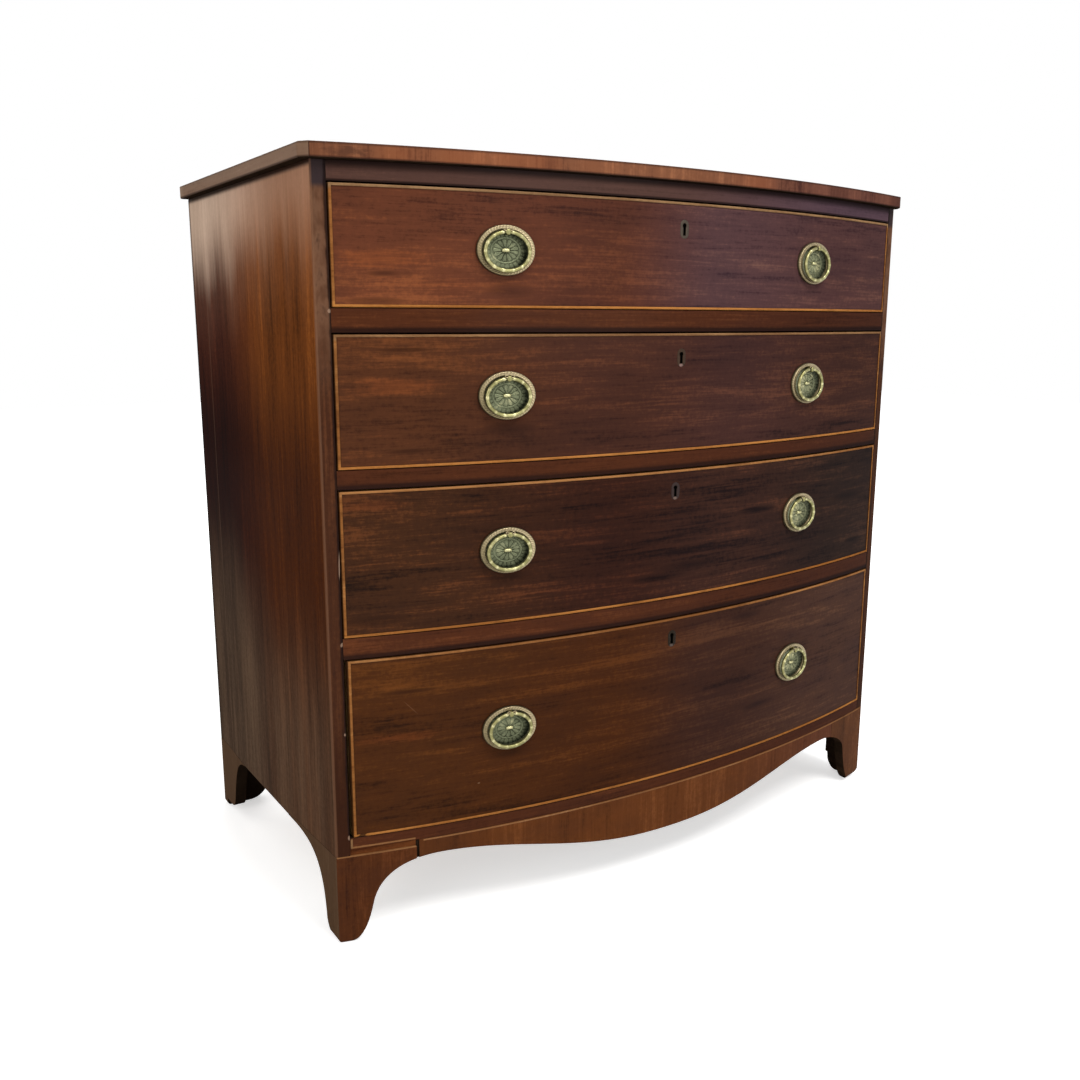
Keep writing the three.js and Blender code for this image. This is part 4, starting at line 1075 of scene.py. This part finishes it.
def keyhole_outline():
    radius, half, low, centre = 0.0031, 0.0022, -0.00775, 0.00445
    start = -math.acos(half / radius)
    arc = [
        (radius * math.cos(a), centre + radius * math.sin(a))
        for a in np.linspace(start, math.pi - start, 21)
    ]
    return arc + [(-half, low), (half, low)]


def plate_of(name, outline, hole, thickness, bevel, material, place):
    """A flat plate with a hole, from two outlines in its own (x, z), laid at place facing -Y."""
    curve = bpy.data.curves.new(name, "CURVE")
    curve.dimensions = "2D"
    curve.fill_mode = "BOTH"
    curve.extrude = thickness / 2 - bevel
    curve.bevel_depth = bevel
    curve.bevel_resolution = 2
    curve.offset = -bevel
    for points in (outline, hole):
        spline = curve.splines.new("POLY")
        spline.points.add(len(points) - 1)
        for point, (x, z) in zip(spline.points, points):
            point.co = (x, z, 0.0, 1.0)
        spline.use_cyclic_u = True
    shaped = linked(name + "_curve", curve)
    shaped.matrix_world = Matrix.Translation(place) @ Matrix.Rotation(math.pi / 2, 4, "X")
    bpy.context.view_layer.update()
    mesh = bpy.data.meshes.new_from_object(shaped.evaluated_get(bpy.context.evaluated_depsgraph_get()))
    mesh.transform(shaped.matrix_world)
    bpy.data.objects.remove(shaped)
    verts = [v.co.copy() for v in mesh.vertices]
    piece = mesh_object(name, verts, [tuple(p.vertices) for p in mesh.polygons], material)
    keep_sharp(piece, 35)
    return piece


def make_drawer(index, finish):
    body = f"drawer_{index + 1}"
    left, right = DRAWER_LEFTS[index], DRAWER_RIGHT
    low = DRAWER_LOWS[index]
    high = low + DRAWER_HEIGHTS[index]
    inside, thickness = BEAD - 0.0002, 0.00315
    proud = 0.00015
    veneer = bowed(
        body + "_veneer", left + inside, right - inside, -proud, thickness - proud, low + inside,
        high - inside, [finish[body]], steps=110,
    )
    key_x, key_z = KEYHOLE_XS[index], high - KEYHOLE_DROPS[index]
    rows = [
        [(key_x + x, BOW_FRONT + reach, key_z + z) for x, z in escutcheon_outline()]
        for reach in (-0.01, 0.02)
    ]
    cut(veneer, mesh_object("keyhole_tool", *swept(rows), finish[body]))
    keep_sharp(veneer, 35)
    settle(veneer, body, "drawer_mahogany")
    missing = (-0.4495, -0.4365) if index == 3 else None
    bead = make_bead(body + "_bead_form", left, right, low, high, finish["boxwood"], missing)
    settle(bead, body, "boxwood", body + "_bead")
    liner = plate_of(
        body + "_keyhole_liner", escutcheon_outline(-0.0001), keyhole_outline(), 0.0012, 0.00025,
        finish[f"liner_{index + 1}"], (key_x, BOW_FRONT + 0.0003, key_z),
    )
    keep_values(liner, [0.45] * len(liner.data.vertices))
    settle(liner, body, "dull_brass")
    for end, places in HANDLE_XS.items():
        angle = math.asin(places[index] / BOW_RADIUS)
        reach = BOW_RADIUS + 0.0003
        z = (low + high) / 2 + HANDLE_RISES[index]
        place = Vector((reach * math.sin(angle), BOW_CENTRE - reach * math.cos(angle), z))
        turn = Matrix.Translation(place) @ Matrix.Rotation(angle, 4, "Z")
        plate = f"{body}_plate_{end}"
        make_plate(plate, body, turn, finish, *((0.45, 0.34) if end == "left" else (0.2, 0.50)))
        make_knob(plate, body, turn, finish)
        make_post(plate, body, turn, finish)
        make_ring(f"{body}_ring_{end}", turn, finish["ring"])


# Handles, drawn with the back of the plate at y = 0 and facing -Y
PLATE_HALF = (0.037, 0.029)
# How far out a point of the plate is, as a share of its half size, and its height in millimetres
PLATE_PROFILE = [
    (0.0, 2.2), (0.06, 2.1), (0.12, 1.7), (0.16, 1.3), (0.42, 1.15), (0.455, 1.0), (0.475, 1.25),
    (0.495, 1.4), (0.515, 1.25), (0.54, 0.95), (0.62, 0.85), (0.73, 0.95), (0.765, 1.1), (0.78, 1.5),
    (0.80, 2.9), (0.82, 4.1), (0.85, 4.6), (0.955, 4.6), (0.975, 4.2), (0.99, 3.3), (1.0, 2.2),
]
PETALS, FLUTES = 13, 25
RIM_START = 0.78
RING_HALF = (0.0279, 0.0220)
RING_OUT = 0.0076
POST_UP = 0.0204
RING_DOWN = POST_UP - RING_HALF[1]


def settle_brass(piece, body, turn, tones, sharp=None, *replaced):
    """Sets a handle piece's tones, arrises and place. tones is one number or one for each point."""
    if not isinstance(tones, list):
        tones = [tones] * len(piece.data.vertices)
    keep_values(piece, tones)
    if sharp:
        keep_sharp(piece, sharp)
    piece.data.transform(turn)
    settle(piece, body, "brass", *replaced)


def leaf(share, angle, count, start, end, turn=0.0):
    """How high a ring of petals stands at a place of the field, 0 to 1, with a rib down each."""
    along = 2 * (share - start) / (end - start) - 1
    if abs(along) >= 1:
        return 0.0
    across = (angle * count / (2 * math.pi) + turn) % 1.0 - 0.5
    width = 0.47 * math.sqrt(1 - along * along) ** 0.7
    if abs(across) >= width:
        return 0.0
    rib = 0.3 * math.exp(-((across / 0.07) ** 2))
    return math.sqrt(1 - (across / width) ** 2) - rib


def bell(value, centre, width):
    """1 at the centre, falling smoothly to 0 over a few widths."""
    return math.exp(-(((value - centre) / width) ** 2))


def rising(value, start, length):
    """0 up to start, then up to 1 over a length."""
    return min(1.0, max(0.0, (value - start) / length))


def make_plate(name, body, turn, finish, shade_low_left, ground):
    """An oval plate with a roped rim round a field of petals and flutes. shade_low_left paints shade on the
    lower left of its rim, and ground is the field's own tone."""
    shares, rises = zip(*PLATE_PROFILE)
    levels = np.unique([*shares, *np.linspace(0.02, 0.77, 41), *np.linspace(0.79, 1.0, 19)])[1:]
    steps = 256
    chance = random.Random(name)
    petal_tones = [chance.uniform(-0.09, 0.09) for _ in range(PETALS)]
    flute_tones = [chance.uniform(-0.08, 0.08) for _ in range(FLUTES)]
    worn = [
        ((chance.uniform(-0.02, 0.02), chance.uniform(-0.014, 0.014)), chance.uniform(0.003, 0.007),
         chance.uniform(-0.10, 0.26))
        for _ in range(7)
    ]

    def field_tone(share, angle, x, z, petals, flutes):
        ridge = bell(share, 0.495, 0.032)
        tone = ground + 0.03 + 0.26 * (petals - 0.3) + 0.20 * (flutes - 0.3) + 0.24 * ridge
        turned = angle / (2 * math.pi)
        if share < 0.45:
            tone += petal_tones[int(turned * PETALS)]
        elif share > 0.55:
            tone += flute_tones[int((turned * FLUTES + 0.5) % FLUTES)]
        # The ring shades the field beside it, most at the upper right
        side = 0.5 + 0.5 * math.cos(angle - math.radians(30))
        tone -= 0.20 * side * rising(share, 0.51, 0.16) + 0.14 * rising(share, 0.62, 0.10)
        for (x0, z0), reach, amount in worn:
            tone += amount * math.exp(-((x - x0) ** 2 + (z - z0) ** 2) / reach**2)
        return 0.10 if share > 0.752 else tone

    def rim_tone(share, angle, rope):
        if share < 0.792:
            return 0.10
        band = rising(share, 0.785, 0.030) * min(1.0, (1.0 - share) / 0.012 + 0.4)
        # Painted shade round the lower left of the rim
        shade = max(0.0, math.cos(angle - math.radians(215))) ** 1.5
        return (0.14 + 0.62 * band * (0.7 + 0.3 * rope)) * (1 - shade_low_left * shade)

    rows, tones = [], []
    for share in levels:
        rise = float(np.interp(share, shares, rises))
        rim = bell(share, 0.905, 0.06)
        row = []
        for i in range(steps):
            angle = 2 * math.pi * i / steps
            rope = 0.5 + 0.5 * math.cos(54 * angle + 26 * share)
            petals = leaf(share, angle, PETALS, 0.14, 0.45)
            flutes = leaf(share, angle, FLUTES, 0.54, 0.76, 0.5)
            height = rise + 0.7 * petals + 0.25 * flutes - 0.55 * rim * (1 - rope)
            x, z = share * PLATE_HALF[0] * math.cos(angle), share * PLATE_HALF[1] * math.sin(angle)
            row.append((x, -0.001 * height, z))
            if share > 0.785:
                tones.append(rim_tone(share, angle, rope))
            else:
                tones.append(field_tone(share, angle, x, z, petals, flutes))
        rows.append(row)
    rows.append([(x, 0.0, z) for x, _, z in rows[-1]])
    tones += [0.2] * steps + [0.3]
    middle = (0.0, -0.001 * rises[0], 0.0)

    def pick(centre, normal):
        out = math.hypot(centre.x / PLATE_HALF[0], centre.z / PLATE_HALF[1])
        return 1 if out > RIM_START or normal.y > 0.5 else 0

    piece = mesh_object(name + "_form", *swept(rows, middle), [finish["field"], finish["rim"]], pick)
    settle_brass(piece, body, turn, tones, 50, name)


def make_knob(name, body, turn, finish):
    """The oblong knob in the middle of a plate."""
    half_x, half_z, base, height = 0.0053, 0.0024, 0.0014, 0.0030
    rows = []
    for part in [math.radians(90 * r / 7) for r in range(1, 8)]:
        out, up = math.sin(part) ** 0.8, math.cos(part) ** 0.8
        row = []
        for i in range(40):
            c, d = math.cos(2 * math.pi * i / 40), math.sin(2 * math.pi * i / 40)
            x = half_x * math.copysign(abs(c) ** 0.55, c) * out
            row.append((x, -base - height * up, half_z * math.copysign(abs(d) ** 0.55, d) * out))
        rows.append(row)
    crown = (0.0, -base - height, 0.0)
    settle_brass(mesh_object(name + "_knob", *swept(rows, crown), finish["bright"]), body, turn, 0.72, 60)


def lathe(name, profile, steps, material):
    """A turned solid about the Y axis at POST_UP, from (radius, y) pairs, with flat ends."""
    angles = [2 * math.pi * i / steps for i in range(steps)]
    rows = [[(radius * math.cos(a), y, radius * math.sin(a)) for a in angles] for radius, y in profile]
    ends = [(0, y, 0) for _, y in (profile[0], profile[-1])]
    piece = mesh_object(name, *swept(rows, *ends), material)
    piece.data.transform(Matrix.Translation((0, 0, POST_UP)))
    return piece


def tube(path, radii, sides):
    """(verts, faces) of a tube round a closed loop. radii may be a number or radii(point, turn)."""
    points = [Vector(p) for p in path]
    rows, normal = [], None
    for i, p in enumerate(points):
        along = (points[(i + 1) % len(points)] - points[i - 1]).normalized()
        if normal is None:
            normal = along.orthogonal().normalized()
        normal = (normal - along * normal.dot(along)).normalized()
        other = along.cross(normal)
        row = []
        for j in range(sides):
            a = 2 * math.pi * j / sides
            radius = radii(i, a) if callable(radii) else radii
            row.append(p + radius * (math.cos(a) * normal + math.sin(a) * other))
        rows.append(row)
    return looped(rows, closed=True)


def make_post(name, body, turn, finish):
    """The turned post whose eye holds the ring, a small tied ribbon over it, and the bolt and nut behind."""
    profile = [
        (0.0031, -0.0006), (0.0031, -0.0030), (0.0034, -0.0038), (0.0037, -0.0050), (0.0038, -0.0076),
        (0.0037, -0.0098), (0.0032, -0.0108), (0.0022, -0.0114), (0.0010, -0.0116),
    ]
    post = lathe(name + "_post", profile, 32, finish["ring"])
    eye = [
        [(x, -RING_OUT + 0.0027 * math.cos(a), POST_UP + 0.0027 * math.sin(a))
         for a in np.linspace(0, 2 * math.pi, 24, endpoint=False)]
        for x in (-0.01, 0.01)
    ]
    keep_values(post, [0.5] * len(post.data.vertices))
    cut(post, mesh_object("eye_tool", *swept(eye), finish["ring"]))
    keep_sharp(post, 40)
    post.data.transform(turn)
    settle(post, body, "brass")
    loops = []
    for side in (-1, 1):
        path = []
        for a in np.linspace(0, 2 * math.pi, 20, endpoint=False):
            x = side * (0.0038 + 0.0022 * math.cos(a))
            path.append((x, -0.0104, POST_UP + 0.0024 + 0.0014 * math.sin(a) + 0.10 * abs(x)))
        loops.append(tube(path, 0.00055, 8))
    ribbon = mesh_object(name + "_ribbon", *joined_parts(loops), finish["rim"])
    settle_brass(ribbon, body, turn, 0.7)
    profile = [
        (0.0024, 0.0), (0.0024, 0.0266), (0.0062, 0.0267), (0.0065, 0.0272), (0.0065, 0.0306),
        (0.0060, 0.0312), (0.0027, 0.0312), (0.0027, 0.0300),
    ]
    settle_brass(lathe(name + "_bolt", profile, 6, finish["rim"]), body, turn, 0.3, 40)


def make_ring(name, turn, material):
    """An oval ring, reeded and bound across, and a little heavier at its foot."""
    steps, sides, bindings = 280, 20, 14
    chance = random.Random(name)
    swell = [
        (chance.randint(2, 6), chance.uniform(0, 2 * math.pi), chance.uniform(0.03, 0.07)) for _ in range(4)
    ]
    bright = [chance.uniform(0.25, 0.6) for _ in range(bindings + 1)]
    angles = [2 * math.pi * i / steps for i in range(steps)]
    path = [(RING_HALF[0] * math.sin(a), -RING_OUT, RING_DOWN - RING_HALF[1] * math.cos(a)) for a in angles]

    def shape(i, a):
        """How far a point of the ring belongs to a binding, and to the crown of a reed."""
        share = (angles[i] * bindings / (2 * math.pi)) % 1.0
        return bell(share, 0.5, 0.15), 0.5 + 0.5 * math.cos(8 * a + 10 * angles[i])

    def radius(i, a):
        bound, reed = shape(i, a)
        foot = 0.00020 * bell(min(angles[i], 2 * math.pi - angles[i]), 0.0, 0.09)
        thin = 0.0007 * bell(angles[i], math.pi, 0.22)
        return 0.00236 + 0.00012 * reed * (1 - bound) + 0.00030 * bound + foot - thin

    def tone(i, a):
        bound, reed = shape(i, a)
        uneven = sum(size * math.cos(waves * angles[i] + start) for waves, start, size in swell)
        number = int(angles[i] * bindings / (2 * math.pi))
        return 0.42 + uneven + bright[number] * bound + 0.22 * reed * (1 - bound)

    verts, faces = tube(path, radius, sides)
    tones = []
    for number, point in enumerate(verts):
        i, j = divmod(number, sides)
        facing = max(0.0, min(1.0, 0.35 + (-RING_OUT - point.y) / 0.0024))
        tones.append(tone(i, 2 * math.pi * j / sides) * (0.35 + 0.65 * facing))
    settle_brass(mesh_object(name + "_form", verts, faces, material), name, turn, tones, None, name)


def dress_nodes(finish):
    """Gives the solids that stay as they are their wood and metal."""
    chosen = {"back_board": "pine_up", "bottom_board": "pine", "top_back_rail": "pine"}
    parts = {
        "front": "pine", "side_left": "pine_deep", "side_right": "pine_deep", "back": "pine",
        "bottom": "pine", "lock": "liner_1",
    }
    for n in range(1, 5):
        chosen.update({f"drawer_{n}_{part}": name for part, name in parts.items()})
    for node, name in chosen.items():
        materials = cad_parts[node].data.materials
        materials.clear()
        materials.append(finish[name])


def main():
    make_camera()
    make_world()
    make_floor()
    make_lights()
    finish = {**make_woods(), **make_metals()}
    dress_nodes(finish)
    make_top(finish)
    make_side(finish, -1, SLIPPED_FOOT_TOP)
    make_side(finish, 1, BASE)
    make_rails(finish)
    make_base(finish)
    for index in range(4):
        make_drawer(index, finish)
    bpy.context.scene.view_settings.view_transform = "Standard"


main()
